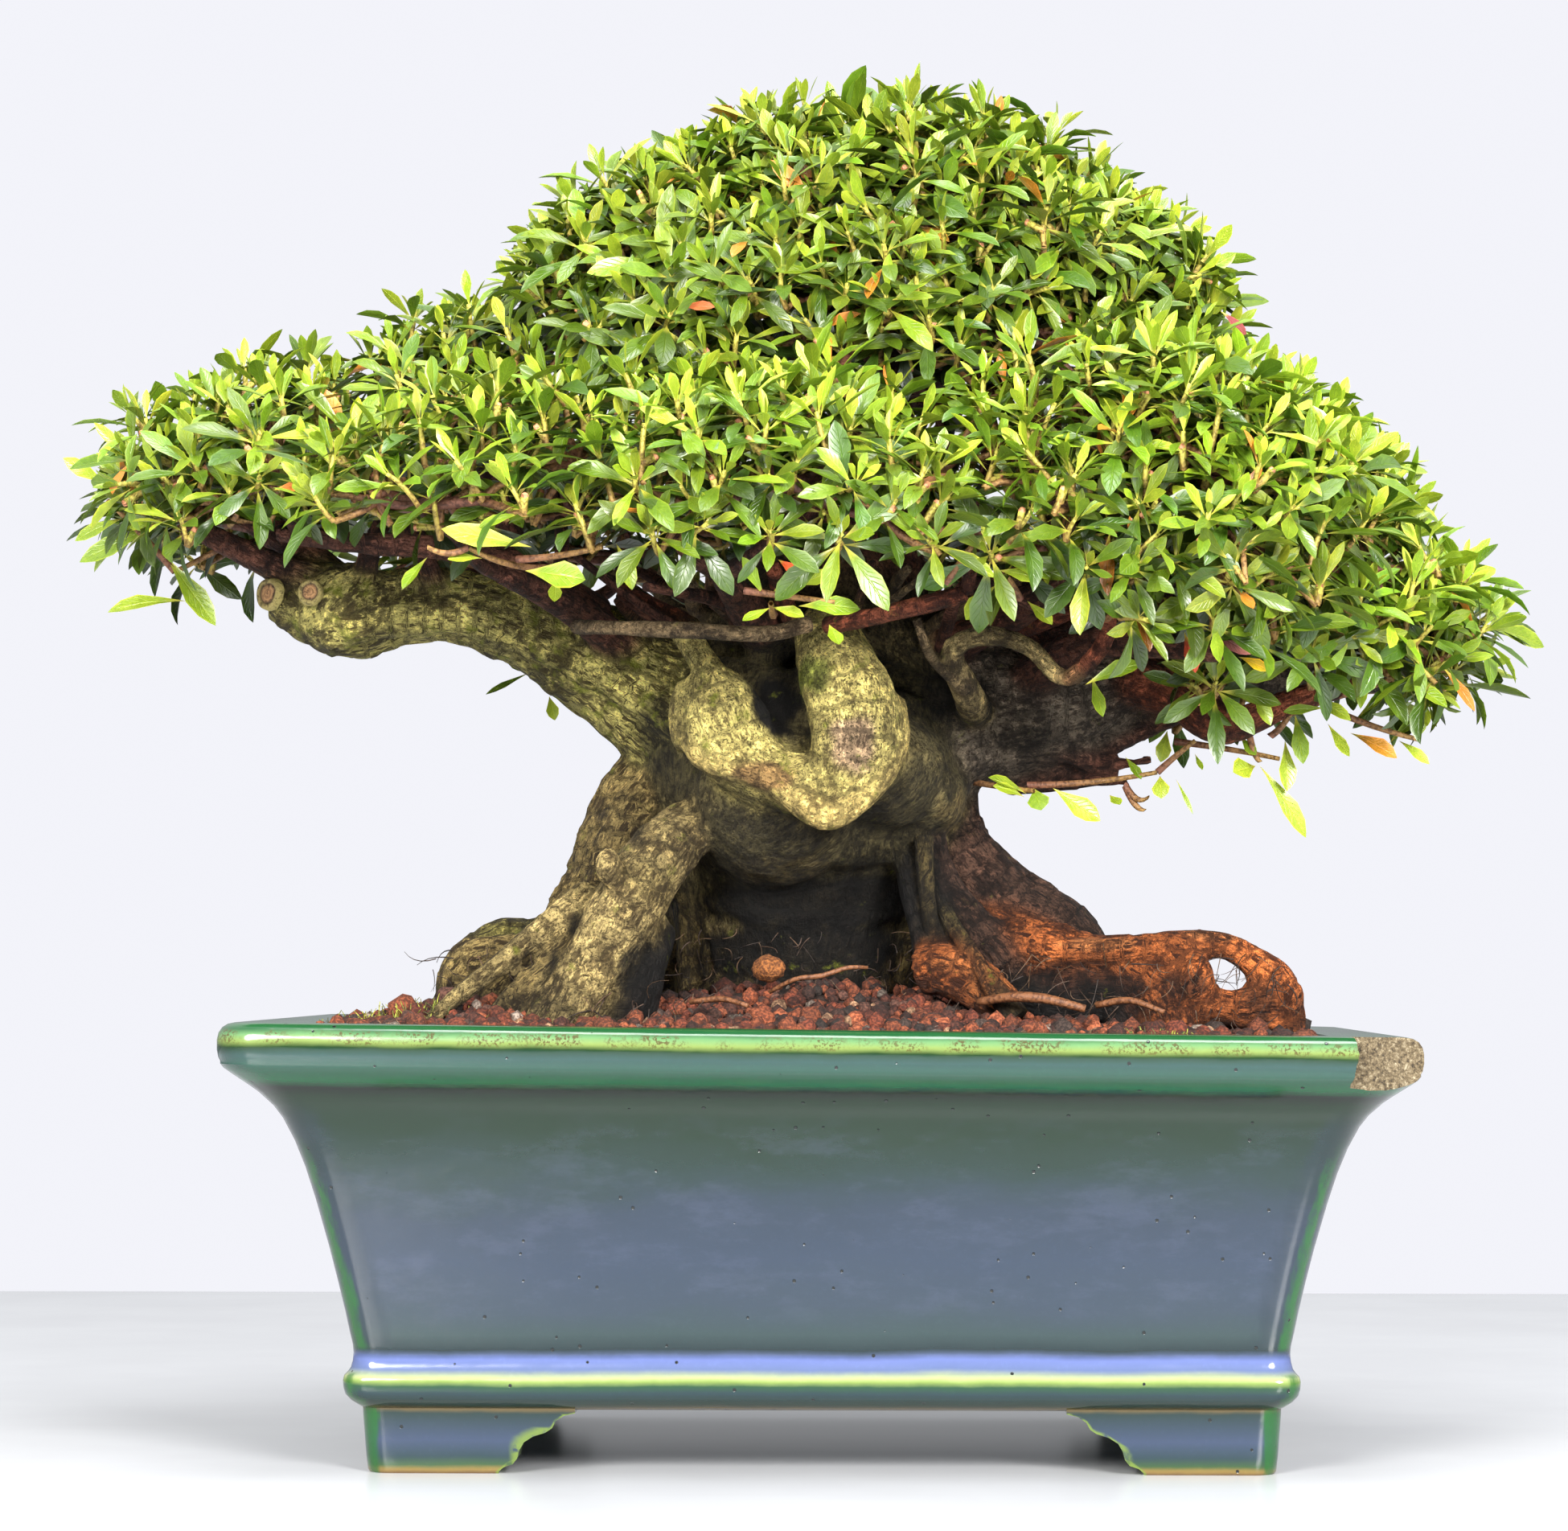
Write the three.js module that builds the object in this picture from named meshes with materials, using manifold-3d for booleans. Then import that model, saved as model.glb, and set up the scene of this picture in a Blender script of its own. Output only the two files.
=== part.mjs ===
// A satsuki azalea bonsai in its glazed pot, as closed solids. Millimetres, +Z up.
// Everything is laid out round the pot's centre on the table, X along the pot, -Y to the front.
// The finished group is then moved so that its origin is the middle of the bottom of its box.
import * as THREE from "three";
import { mergeVertices } from "three/addons/utils/BufferGeometryUtils.js";
import Module from "manifold-3d";

const wasm = await Module();
wasm.setup();

// ---------------------------------------------------------------- driving dimensions

const GAP = 0.35; // clearance between pieces that touch
const GROW = 0.5; // how much thicker the wood is taken to be where soil and foliage make room for it

const RIM_HALF_LENGTH = 177.5;
const RIM_HALF_DEPTH = 131;
const RIM_TOP = 133.25; // at the middle of the pot
const RIM_WARP = 4.5; // the left end of the rim stands this much higher than the right end
const WARP_FROM = 60; // below this height the pot is true
const RIM_CORNER_RADIUS = 12;
const FLOOR_BOTTOM = 24;
const FLOOR_TOP = 32;
const FOOT_HEIGHT = 19.2;
const FOOT_BOTTOM_INSET = 41; // from the rim's edge
const FOOT_TOP_INSET = 40;
const FOOT_THICKNESS = 12;
const FOOT_REACH = 40; // length of a foot's flat bottom along each side
const FOOT_CURVE = 23; // further length that its stepped, curved end takes at the top
const DRAIN_RADIUS = 11;
const DRAIN_X = 70;
const MESH_SIDE = 36;
const MESH_THICKNESS = 1.2;
const MESH_HOLE = 12;
const MESH_PITCH = 15.5;

const SOIL_EDGE_BELOW_RIM = 3;
const SOIL_MOUND = 12; // rise of the soil from the pot's edge to the trunk
const GRAIN_HEIGHT = 1.6;

const BUNCHES = 35;
const CORE_DEPTH = 31; // of a bunch's middle below its leaf tips
const CORE_RADIUS = 22; // of the twiggy heart of a bunch
const CORE_FLATNESS = 0.85;
const LEAF_LENGTH = 22;
const LEAF_WIDTH = 8.4;
const LEAF_THICKNESS = 1.3;
const LEAVES_PER_WHORL = 3;

// The rounded masses that the leaf tips fill: centre and half-sizes.
const CANOPY_HEART = [10, 0, 275];
const CANOPY = {
  crown: { at: [18, 10, 345], half: [118, 100, 93] },
  crownLeft: { at: [-45, 5, 358], half: [66, 82, 56] },
  leftShoulder: { at: [-105, 0, 318], half: [62, 75, 52] },
  leftPad: { at: [-162, -10, 300], half: [75, 85, 50] },
  frontPad: { at: [-15, -85, 290], half: [95, 68, 50] },
  frontLeftPad: { at: [-95, -75, 288], half: [75, 60, 48] },
  frontRightPad: { at: [85, -75, 290], half: [85, 65, 60] },
  rightPad: { at: [128, 0, 281], half: [67, 85, 69] },
  rightLowPad: { at: [160, -15, 254], half: [60, 70, 42] },
  backLeftPad: { at: [-90, 80, 295], half: [80, 60, 52] },
  backPad: { at: [0, 90, 300], half: [90, 60, 60] },
  backRightPad: { at: [90, 80, 295], half: [80, 60, 60] },
};

// ---------------------------------------------------------------- solids

const vec = (p) => new THREE.Vector3(p[0], p[1], p[2]);

// The same series of numbers from 0 to 1 each time for one seed.
function randomSeries(seed) {
  let state = seed >>> 0;
  return () => {
    state = (state + 0x6d2b79f5) >>> 0;
    let t = state;
    t = Math.imul(t ^ (t >>> 15), t | 1);
    t ^= t + Math.imul(t ^ (t >>> 7), t | 61);
    return ((t ^ (t >>> 14)) >>> 0) / 4294967296;
  };
}

// A smooth ripple between -1 and 1 that changes over about the given length.
function ripple(p, length, phase) {
  const k = (2 * Math.PI) / length;
  return (
    (Math.sin(k * p.x + phase) * Math.cos(0.83 * k * p.y - 1.7 * phase) +
      Math.sin(1.31 * k * p.z + 2.3 * phase) * Math.cos(0.7 * k * p.x + 0.4)) /
    2
  );
}

// A manifold solid from points and triangle corners, turned to face outwards.
function solidOf(points, corners) {
  let volume = 0;
  for (let i = 0; i < corners.length; i += 3) {
    const [a, b, c] = [points[corners[i]], points[corners[i + 1]], points[corners[i + 2]]];
    volume += a.dot(new THREE.Vector3().crossVectors(b, c));
  }
  const triVerts = new Uint32Array(corners);
  if (volume < 0)
    for (let i = 0; i < triVerts.length; i += 3)
      [triVerts[i + 1], triVerts[i + 2]] = [triVerts[i + 2], triVerts[i + 1]];
  const vertProperties = new Float32Array(points.length * 3);
  points.forEach((p, i) => p.toArray(vertProperties, 3 * i));
  return new wasm.Manifold(new wasm.Mesh({ numProp: 3, vertProperties, triVerts }));
}

// A solid through rings of points. Each ring has the same count, but an end may be one point.
function loft(rings) {
  const points = rings.flat();
  const corners = [];
  let start = 0;
  for (let r = 0; r + 1 < rings.length; r++) {
    const [here, next] = [rings[r].length, rings[r + 1].length];
    const count = Math.max(here, next);
    for (let i = 0; i < count; i++) {
      const j = (i + 1) % count;
      const after = start + here;
      if (here === 1) corners.push(start, after + j, after + i);
      else if (next === 1) corners.push(start + i, start + j, after);
      else {
        corners.push(start + i, start + j, after + j);
        corners.push(start + i, after + j, after + i);
      }
    }
    start += here;
  }
  const first = rings[0].length;
  const last = rings[rings.length - 1].length;
  for (let i = 1; i + 1 < first; i++) corners.push(0, i + 1, i);
  for (let i = 1; i + 1 < last; i++) corners.push(start, start + i, start + i + 1);
  return solidOf(points, corners);
}

// A three.js geometry as a manifold solid.
function solidOfGeometry(geometry) {
  geometry.deleteAttribute("normal");
  geometry.deleteAttribute("uv");
  const merged = mergeVertices(geometry, 1e-3);
  const position = merged.getAttribute("position");
  const points = [];
  for (let i = 0; i < position.count; i++)
    points.push(new THREE.Vector3().fromBufferAttribute(position, i));
  return solidOf(points, Array.from(merged.index.array));
}

// A ball stretched to half-sizes, with its surface rippled.
function lump(at, half, options = {}) {
  const { ball = new THREE.IcosahedronGeometry(1, 1), rough = 0.1, length = 25, phase = 0 } = options;
  const geometry = ball.clone();
  const position = geometry.getAttribute("position");
  for (let i = 0; i < position.count; i++) {
    const unit = new THREE.Vector3().fromBufferAttribute(position, i);
    const p = unit.clone().multiply(vec(half));
    p.multiplyScalar(1 + rough * ripple(p, length, phase)).add(vec(at));
    position.setXYZ(i, p.x, p.y, p.z);
  }
  return solidOfGeometry(geometry);
}

const joined = (solids) => solids.reduce((all, one) => all.add(one));

// The biggest body of a solid: a boolean can leave small scraps beside it.
function biggestBody(solid) {
  return solid.decompose().reduce((a, b) => (b.volume() > a.volume() ? b : a));
}

function meshOf(name, solid, material) {
  const { vertProperties, triVerts, numProp } = solid.getMesh();
  const geometry = new THREE.BufferGeometry();
  const xyz = new Float32Array((vertProperties.length / numProp) * 3);
  for (let i = 0; i < xyz.length / 3; i++)
    xyz.set(vertProperties.subarray(i * numProp, i * numProp + 3), i * 3);
  geometry.setAttribute("position", new THREE.BufferAttribute(xyz, 3));
  geometry.setIndex(new THREE.BufferAttribute(triVerts, 1));
  geometry.computeVertexNormals();
  const mesh = new THREE.Mesh(geometry, material);
  mesh.name = name;
  return mesh;
}

// ---------------------------------------------------------------- pot

// How far the warped rim lies above or below its mean height.
function warp(x, z) {
  const share = THREE.MathUtils.clamp((z - WARP_FROM) / (RIM_TOP - WARP_FROM), 0, 1);
  return (-RIM_WARP * x * share) / (2 * RIM_HALF_LENGTH);
}

// A rounded rectangle, inset from the rim's edge, with stepsPerCorner + 1 points to a corner.
function potRing(inset, z, { stepsPerCorner = 3, alongSides = 0 } = {}) {
  const radius = Math.max(5, RIM_CORNER_RADIUS - 0.12 * inset);
  const halfX = RIM_HALF_LENGTH - inset - radius;
  const halfY = RIM_HALF_DEPTH - inset - radius;
  const ring = [];
  const signs = [[1, 1], [-1, 1], [-1, -1], [1, -1]];
  signs.forEach(([sx, sy], corner) => {
    for (let i = 0; i <= stepsPerCorner; i++) {
      const angle = ((corner + i / stepsPerCorner) * Math.PI) / 2;
      const x = sx * halfX + radius * Math.cos(angle);
      const y = sy * halfY + radius * Math.sin(angle);
      ring.push(new THREE.Vector3(x, y, z + warp(x, z)));
    }
    const [nextX, nextY] = signs[(corner + 1) % 4];
    const angle = ((corner + 1) * Math.PI) / 2;
    const from = new THREE.Vector3(
      sx * halfX + radius * Math.cos(angle), sy * halfY + radius * Math.sin(angle), z);
    const to = new THREE.Vector3(
      nextX * halfX + radius * Math.cos(angle), nextY * halfY + radius * Math.sin(angle), z);
    for (let i = 1; i <= alongSides; i++) {
      const p = from.clone().lerp(to, i / (alongSides + 1));
      p.z = z + warp(p.x, z);
      ring.push(p);
    }
  });
  return ring;
}

// Inset from the rim's edge and height, from under the floor, up the outside and down the inside.
const POT_UNDERSIDE = [[47, FLOOR_BOTTOM], [46, FOOT_HEIGHT]];
const POT_BASE_MOULDING = [[40, FOOT_HEIGHT], [34.6, 24], [34.4, 28], [36.6, 31]];
const POT_WALL = [[36.5, 36], [34.5, 49], [31, 64], [26.5, 82], [21, 98.5], [16.2, 107.8]];
const POT_LIP_UNDERSIDE = [[11.2, 113.2], [3.8, 118.9]];
const POT_LIP = [[0, 123], [0, 129], [2, 132], [6, RIM_TOP], [24, RIM_TOP]];
const POT_INSIDE = [
  [25, RIM_TOP - 2], [25, 113], [29, 98], [36.5, 76], [41.5, 50], [46, 35], [49, FLOOR_TOP],
];

// How far the pot's inner face lies from the rim's edge at a height.
function innerInset(z) {
  for (let i = 0; i + 1 < POT_INSIDE.length; i++) {
    const [[a, top], [b, low]] = [POT_INSIDE[i], POT_INSIDE[i + 1]];
    if (z <= top && z >= low) return a + ((b - a) * (top - z)) / (top - low);
  }
  return POT_INSIDE[0][0];
}

// A prism along Y (or along X when turned) of the ogee gap between two feet.
function footGap(halfSpan, turned) {
  const bottom = halfSpan - FOOT_REACH;
  const top = bottom - FOOT_CURVE;
  const side = [
    [bottom, -1], [bottom, 2], [bottom - 4, 3], [bottom - 6, 7], [bottom - 10, 11],
    [bottom - 15, 13], [bottom - 17, 16], [top, 18], [top, FLOOR_BOTTOM + 2],
  ];
  const outline = [...side, ...side.map(([x, z]) => [-x, z]).reverse()];
  const shape = new THREE.Shape(outline.map(([x, z]) => new THREE.Vector2(x, z)));
  const depth = 2 * RIM_HALF_LENGTH;
  const geometry = new THREE.ExtrudeGeometry(shape, { depth, bevelEnabled: false });
  geometry.translate(0, 0, -depth / 2).rotateX(Math.PI / 2);
  if (turned) geometry.rotateZ(Math.PI / 2);
  return solidOfGeometry(geometry);
}

function feet() {
  const top = FLOOR_BOTTOM + 0.5;
  const outer = loft([potRing(FOOT_BOTTOM_INSET, 0), potRing(FOOT_TOP_INSET, top)]);
  const inner = loft([
    potRing(FOOT_BOTTOM_INSET + FOOT_THICKNESS, -1),
    potRing(FOOT_TOP_INSET + FOOT_THICKNESS, top + 1),
  ]);
  return outer
    .subtract(inner)
    .subtract(footGap(RIM_HALF_LENGTH - FOOT_BOTTOM_INSET, false))
    .subtract(footGap(RIM_HALF_DEPTH - FOOT_BOTTOM_INSET, true));
}

function drainHole(x) {
  const geometry = new THREE.CylinderGeometry(DRAIN_RADIUS, DRAIN_RADIUS, 30, 16);
  geometry.rotateX(Math.PI / 2).translate(x, 0, (FLOOR_BOTTOM + FLOOR_TOP) / 2);
  return solidOfGeometry(geometry);
}

// The piece broken off the rim's front right corner, with rough faces.
function rimChip() {
  const [low, high] = [vec([160, -150, 111]), vec([196, -117, 145])];
  const size = high.clone().sub(low);
  const geometry = new THREE.BoxGeometry(size.x, size.y, size.z, 3, 2, 3);
  const position = geometry.getAttribute("position");
  for (let i = 0; i < position.count; i++) {
    const p = new THREE.Vector3().fromBufferAttribute(position, i);
    const rough = ripple(p, 9, 0.7);
    p.add(new THREE.Vector3(1.3 * rough, 1.6 * rough + 0.1 * p.x, 1.2 * rough));
    p.add(low.clone().add(high).multiplyScalar(0.5));
    position.setXYZ(i, p.x, p.y, p.z);
  }
  return solidOfGeometry(geometry);
}

function makePot() {
  const profile = [
    ...POT_UNDERSIDE, ...POT_BASE_MOULDING, ...POT_WALL, ...POT_LIP_UNDERSIDE, ...POT_LIP,
    ...POT_INSIDE,
  ];
  const body = loft(profile.map(([inset, z]) => potRing(inset, z)));
  return body
    .add(feet())
    .subtract(drainHole(-DRAIN_X))
    .subtract(drainHole(DRAIN_X))
    .subtract(rimChip());
}

// A plate of plastic mesh over a drain hole.
function makeDrainMesh(x) {
  const block = (width, height, dx, dy) => {
    const geometry = new THREE.BoxGeometry(width, width, height);
    return solidOfGeometry(geometry.translate(x + dx, dy, FLOOR_TOP + GAP + MESH_THICKNESS / 2));
  };
  let plate = block(MESH_SIDE, MESH_THICKNESS, 0, 0);
  for (const i of [-0.5, 0.5])
    for (const j of [-0.5, 0.5])
      plate = plate.subtract(block(MESH_HOLE, 3 * MESH_THICKNESS, i * MESH_PITCH, j * MESH_PITCH));
  return plate;
}

// ---------------------------------------------------------------- wood

// A limb: a tapering, ridged tube along a smooth curve through points of [x, y, z, radius].
function limb(points, { sides = 8, steps = 1, ridge = 0.08, lobes = 3, phase = 0, grow = 0 } = {}) {
  const path = new THREE.CatmullRomCurve3(points.map(vec), false, "centripetal");
  const last = steps * (points.length - 1);
  const tangentAt = (i) => path.getTangent(i / last).normalize();
  let side = new THREE.Vector3(1, 0, 0);
  if (Math.abs(tangentAt(0).x) > 0.8) side = new THREE.Vector3(0, 1, 0);
  const rings = [];
  for (let i = 0; i <= last; i++) {
    const tangent = tangentAt(i);
    side.addScaledVector(tangent, -side.dot(tangent)).normalize();
    const other = new THREE.Vector3().crossVectors(tangent, side);
    const centre = path.getPoint(i / last);
    if (i === 0) centre.addScaledVector(tangent, -grow);
    if (i === last) centre.addScaledVector(tangent, grow);
    // The radius changes evenly between the points, so that it never overshoots.
    const k = Math.min(Math.floor(i / steps), points.length - 2);
    const share = i / steps - k;
    const radius = points[k][3] * (1 - share) + points[k + 1][3] * share;
    const ring = [];
    for (let s = 0; s < sides; s++) {
      const angle = (2 * Math.PI * s) / sides;
      const direction = side.clone().multiplyScalar(Math.cos(angle));
      direction.addScaledVector(other, Math.sin(angle));
      const surface = centre.clone().addScaledVector(direction, radius);
      const ridges = Math.cos(lobes * angle + phase + 0.35 * i) + ripple(surface, 34, phase);
      ring.push(centre.clone().addScaledVector(direction, radius * (1 + ridge * ridges) + grow));
    }
    rings.push(ring);
  }
  return loft(rings);
}

// The control points of the woody parts, each [x, y, z, radius].
const TRUNK = [
  [-12, 30, 116, 43], [-10, 28, 150, 44], [-8, 16, 182, 49], [-5, 0, 215, 56], [0, 0, 243, 50],
  [5, 5, 270, 33], [12, 8, 304, 20], [15, 10, 345, 13], [12, 12, 386, 7],
];
const LEFT_KNEE_ROOT = [
  [-36, 5, 222, 20], [-54, 2, 206, 18], [-63, 0, 191, 18], [-71, -4, 171, 17], [-87, -10, 152, 14],
  [-104, -14, 138, 12], [-122, -18, 122, 8],
];
const FRONT_LEFT_ROOT = [
  [-30, -38, 196, 12], [-42, -48, 186, 12], [-53, -54, 177, 12], [-62, -58, 164, 12.5], [-68, -61, 152, 14],
  [-73, -63, 139, 15], [-80, -64, 122, 13],
];
const RIGHT_ROOT = [
  [30, 4, 216, 22], [39, 0, 194, 15.5], [46, -4, 182, 15.5], [59, -6, 166, 16], [76, -8, 150, 15],
  [92, -8, 126, 11],
];
const LONG_RIGHT_ROOT = [
  [56, -22, 152, 15], [80, -31, 152, 12.5], [104, -36, 154, 10], [119, -37, 155, 8.5], [132, -36, 151, 8],
  [142, -35, 140, 8], [143, -34, 126, 7],
];
const SECOND_LEG = [[94, -36, 151, 9], [105, -41, 141, 9.5], [109, -43, 122, 9]];
const LEFT_BLOCK_ROOT = [
  [-70, 4, 158, 17], [-90, 0, 153, 15], [-109, -2, 150, 15], [-113, -4, 126, 13],
];
const THIN_ROOT = [
  [-58, -46, 184, 6], [-76, -44, 176, 4.5], [-90, -52, 163, 3.6], [-103, -56, 150, 3.4], [-118, -58, 132, 3],
];
const FRONT_FOOT_ROOT = [
  [24, -24, 200, 8], [30, -30, 180, 7.5], [34, -34, 165, 8.5], [38, -40, 152, 10.5], [48, -48, 141, 9],
  [58, -55, 124, 7],
];
const BACK_LEFT_ROOT = [[-40, 40, 160, 22], [-62, 54, 146, 16], [-86, 64, 130, 10]];
const BACK_RIGHT_ROOT = [[30, 44, 162, 22], [54, 58, 146, 16], [78, 66, 128, 10]];
const LEFT_BURL = [
  [-37, -50, 254, 6.5], [-31, -57, 243, 7.5], [-26, -60, 234, 12], [-27, -62, 224, 14.5], [-22, -60, 212, 12],
  [-10, -56, 203, 9],
];
const RIGHT_BURL = [
  [5, -45, 258, 11], [6, -54, 247, 12], [9, -62, 234, 14.5], [10, -64, 221, 15.5], [6, -64, 208, 12.5],
  [1, -60, 199, 8],
];
const BURL_RIDGE = [[-40, -54, 220, 7], [-30, -64, 212, 7.5], [-14, -67, 206, 7], [2, -66, 198, 7]];
const LEFT_LIMB = [
  [-20, 0, 225, 32], [-55, -8, 240, 22], [-84, -14, 254, 15.5], [-110, -16, 265, 12], [-132, -16, 267, 12],
  [-150, -16, 264, 15], [-166, -16, 268, 12], [-177, -16, 270, 8],
];
const LEFT_LIMB_FORK = [[-150, -14, 268, 9], [-168, -12, 284, 6.5], [-186, -8, 296, 4.5], [-204, -6, 303, 3]];
const LEFT_LIMB_SHOULDER = [[-84, -8, 252, 11], [-96, 0, 276, 8], [-106, 4, 300, 6], [-112, 2, 322, 4]];
const RIGHT_LIMB = [
  [15, 0, 228, 36], [48, -2, 232, 29], [72, -4, 234, 24], [90, -6, 241, 17], [112, -8, 245, 12.5],
  [135, -8, 244, 10.5], [158, -8, 241, 8.5], [180, -8, 242, 6],
];
const RIGHT_LIMB_LOW = [
  [84, -14, 238, 9], [104, -24, 232, 6.5], [130, -28, 221, 6], [158, -26, 232, 5], [176, -24, 238, 3.5],
];
const RIGHT_LIMB_RISE = [[100, -2, 250, 11], [118, 2, 272, 8], [136, 4, 296, 5.5], [150, 2, 318, 4]];
const LOW_TWIG = [
  [40, 12, 212, 5], [62, 22, 208, 4], [82, 26, 217, 3.2], [100, 24, 222, 3], [122, 22, 229, 2.6],
];
const ARCHING_BRANCH = [
  [14, -30, 240, 8], [38, -62, 254, 6], [52, -70, 258, 6], [68, -74, 254, 5.5], [86, -78, 246, 4.5],
];
const FRONT_BRANCH = [[-16, -30, 252, 13], [-24, -60, 263, 8], [-30, -88, 270, 5]];
const FRONT_LEFT_BRANCH = [[-60, -20, 246, 10], [-80, -48, 264, 7], [-98, -72, 272, 4.5]];
const FRONT_RIGHT_BRANCH = [[40, -20, 252, 12], [64, -52, 264, 8], [86, -76, 272, 5]];
const BACK_BRANCH = [[5, 30, 256, 14], [4, 58, 268, 9], [0, 84, 276, 5]];
const BACK_LEFT_BRANCH = [[-34, 4, 240, 12], [-74, 48, 264, 7.5], [-92, 74, 272, 4.5]];
const BACK_RIGHT_BRANCH = [[50, 20, 250, 12], [74, 48, 264, 8], [92, 72, 272, 5]];

const THICK_WOOD = [
  [TRUNK, { sides: 12, ridge: 0.07, lobes: 5, phase: 0.4 }],
  [LEFT_KNEE_ROOT, { sides: 8, ridge: 0.1, phase: 1.1 }],
  [FRONT_LEFT_ROOT, { sides: 8, ridge: 0.09, phase: 2.0 }],
  [RIGHT_ROOT, { sides: 8, ridge: 0.09, phase: 0.2 }],
  [LONG_RIGHT_ROOT, { sides: 7, ridge: 0.1, phase: 2.7 }],
  [SECOND_LEG, { sides: 6, ridge: 0.1, phase: 0.9 }],
  [LEFT_BLOCK_ROOT, { sides: 8, ridge: 0.12, lobes: 4, phase: 0.8 }],
  [THIN_ROOT, { sides: 5, ridge: 0.04 }],
  [FRONT_FOOT_ROOT, { sides: 6, ridge: 0.1, phase: 1.9 }],
  [BACK_LEFT_ROOT, { sides: 7, phase: 0.5 }],
  [BACK_RIGHT_ROOT, { sides: 7, phase: 2.5 }],
  [LEFT_BURL, { sides: 8, ridge: 0.07, phase: 0.3 }],
  [RIGHT_BURL, { sides: 8, ridge: 0.07, phase: 1.3 }],
  [BURL_RIDGE, { sides: 6, ridge: 0.06, phase: 2.2 }],
];
const LIMBS = [
  [LEFT_LIMB, { sides: 8, ridge: 0.07, phase: 0.6 }],
  [LEFT_LIMB_FORK, { sides: 5, phase: 1.0 }],
  [LEFT_LIMB_SHOULDER, { sides: 5, phase: 1.6 }],
  [RIGHT_LIMB, { sides: 8, ridge: 0.07, phase: 2.1 }],
  [RIGHT_LIMB_LOW, { sides: 6, ridge: 0.06, phase: 0.1 }],
  [RIGHT_LIMB_RISE, { sides: 5, phase: 2.9 }],
  [LOW_TWIG, { sides: 5 }],
  [ARCHING_BRANCH, { sides: 6, phase: 1.2 }],
  [FRONT_BRANCH, { sides: 6, phase: 0.7 }],
  [FRONT_LEFT_BRANCH, { sides: 6, phase: 1.4 }],
  [FRONT_RIGHT_BRANCH, { sides: 6, phase: 2.6 }],
  [BACK_BRANCH, { sides: 6, phase: 0.2 }],
  [BACK_LEFT_BRANCH, { sides: 6, phase: 1.8 }],
  [BACK_RIGHT_BRANCH, { sides: 6, phase: 2.4 }],
];
const KNOBS = [
  { // belly
    at: [-9, -14, 207], half: [51, 48, 34], ball: new THREE.IcosahedronGeometry(1, 2),
    rough: 0.07, length: 46, phase: 0.5,
  },
  { // bulge right of the belly
    at: [30, -22, 204], half: [17, 23, 15], ball: new THREE.IcosahedronGeometry(1, 0),
    rough: 0.05, phase: 0.3,
  },
  { at: [-63, -66, 181], half: [5.5, 6, 8.5], phase: 1.2 },
  { at: [-152, -18, 266], half: [19, 17, 17], rough: 0.12, phase: 0.9 }, // swollen limb end
  { at: [143, -35, 141], half: [7, 9, 10], rough: 0.16, length: 14, phase: 2.1 }, // gnarled root end
];

// The woody plant's own solids, thicker by grow, with a branch to each bunch of foliage.
function woodSolids(branches, grow) {
  const tubes = [...THICK_WOOD, ...LIMBS, ...branches];
  const solids = tubes.map(([points, options]) => limb(points, { ...options, grow }));
  for (const { at, half, ...options } of KNOBS)
    solids.push(lump(at, half.map((h) => h + grow), options));
  return solids;
}

// ---------------------------------------------------------------- canopy layout

// Where a ray from the canopy's heart leaves its masses, with the surface normal there.
function canopyPoint(direction) {
  const heart = vec(CANOPY_HEART);
  let best = null;
  for (const { at, half } of Object.values(CANOPY)) {
    const h = vec(half);
    const o = heart.clone().sub(vec(at)).divide(h);
    const d = direction.clone().divide(h);
    const [a, b, c] = [d.dot(d), o.dot(d), o.dot(o) - 1];
    const root = b * b - a * c;
    if (root <= 0) continue;
    const t = (-b + Math.sqrt(root)) / a;
    if (t <= 0 || (best && t <= best.t)) continue;
    const normal = o.addScaledVector(d, t).divide(h).normalize();
    best = { t, at: heart.clone().addScaledVector(direction, t), normal };
  }
  return best;
}

// Even points over the canopy, leaving its open underside bare.
function canopyPoints(count) {
  const points = [];
  for (let i = 0; i < count; i++) {
    const z = 1 - (2 * (i + 0.5)) / count;
    const turn = i * Math.PI * (3 - Math.sqrt(5));
    const flat = Math.sqrt(1 - z * z);
    const p = canopyPoint(new THREE.Vector3(flat * Math.cos(turn), flat * Math.sin(turn), z));
    if (p && p.normal.z > -0.45) points.push(p);
  }
  return points;
}

// ---------------------------------------------------------------- foliage

// A leaf pointed at both ends, with a keel under its midrib, that arches over to its tip.
function leaf(base, direction, up, length, width, thickness) {
  const side = new THREE.Vector3().crossVectors(direction, up).normalize();
  const top = new THREE.Vector3().crossVectors(side, direction).normalize();
  const centre = (share) =>
    base
      .clone()
      .addScaledVector(direction, share * length)
      .addScaledVector(top, 0.42 * length * share * (0.62 - share));
  const station = (share, breadth) => {
    const middle = centre(share);
    return [
      middle.clone().addScaledVector(side, (breadth * width) / 2),
      middle.clone().addScaledVector(side, (-breadth * width) / 2),
      middle.clone().addScaledVector(top, -thickness),
    ];
  };
  return loft([[centre(0)], station(0.4, 0.92), station(0.72, 0.86), [centre(1)]]);
}

function perpendicular(axis, angle) {
  const side = new THREE.Vector3().crossVectors(axis, new THREE.Vector3(0.31, 0.2, 0.93)).normalize();
  return side.applyAxisAngle(axis, angle);
}

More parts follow.
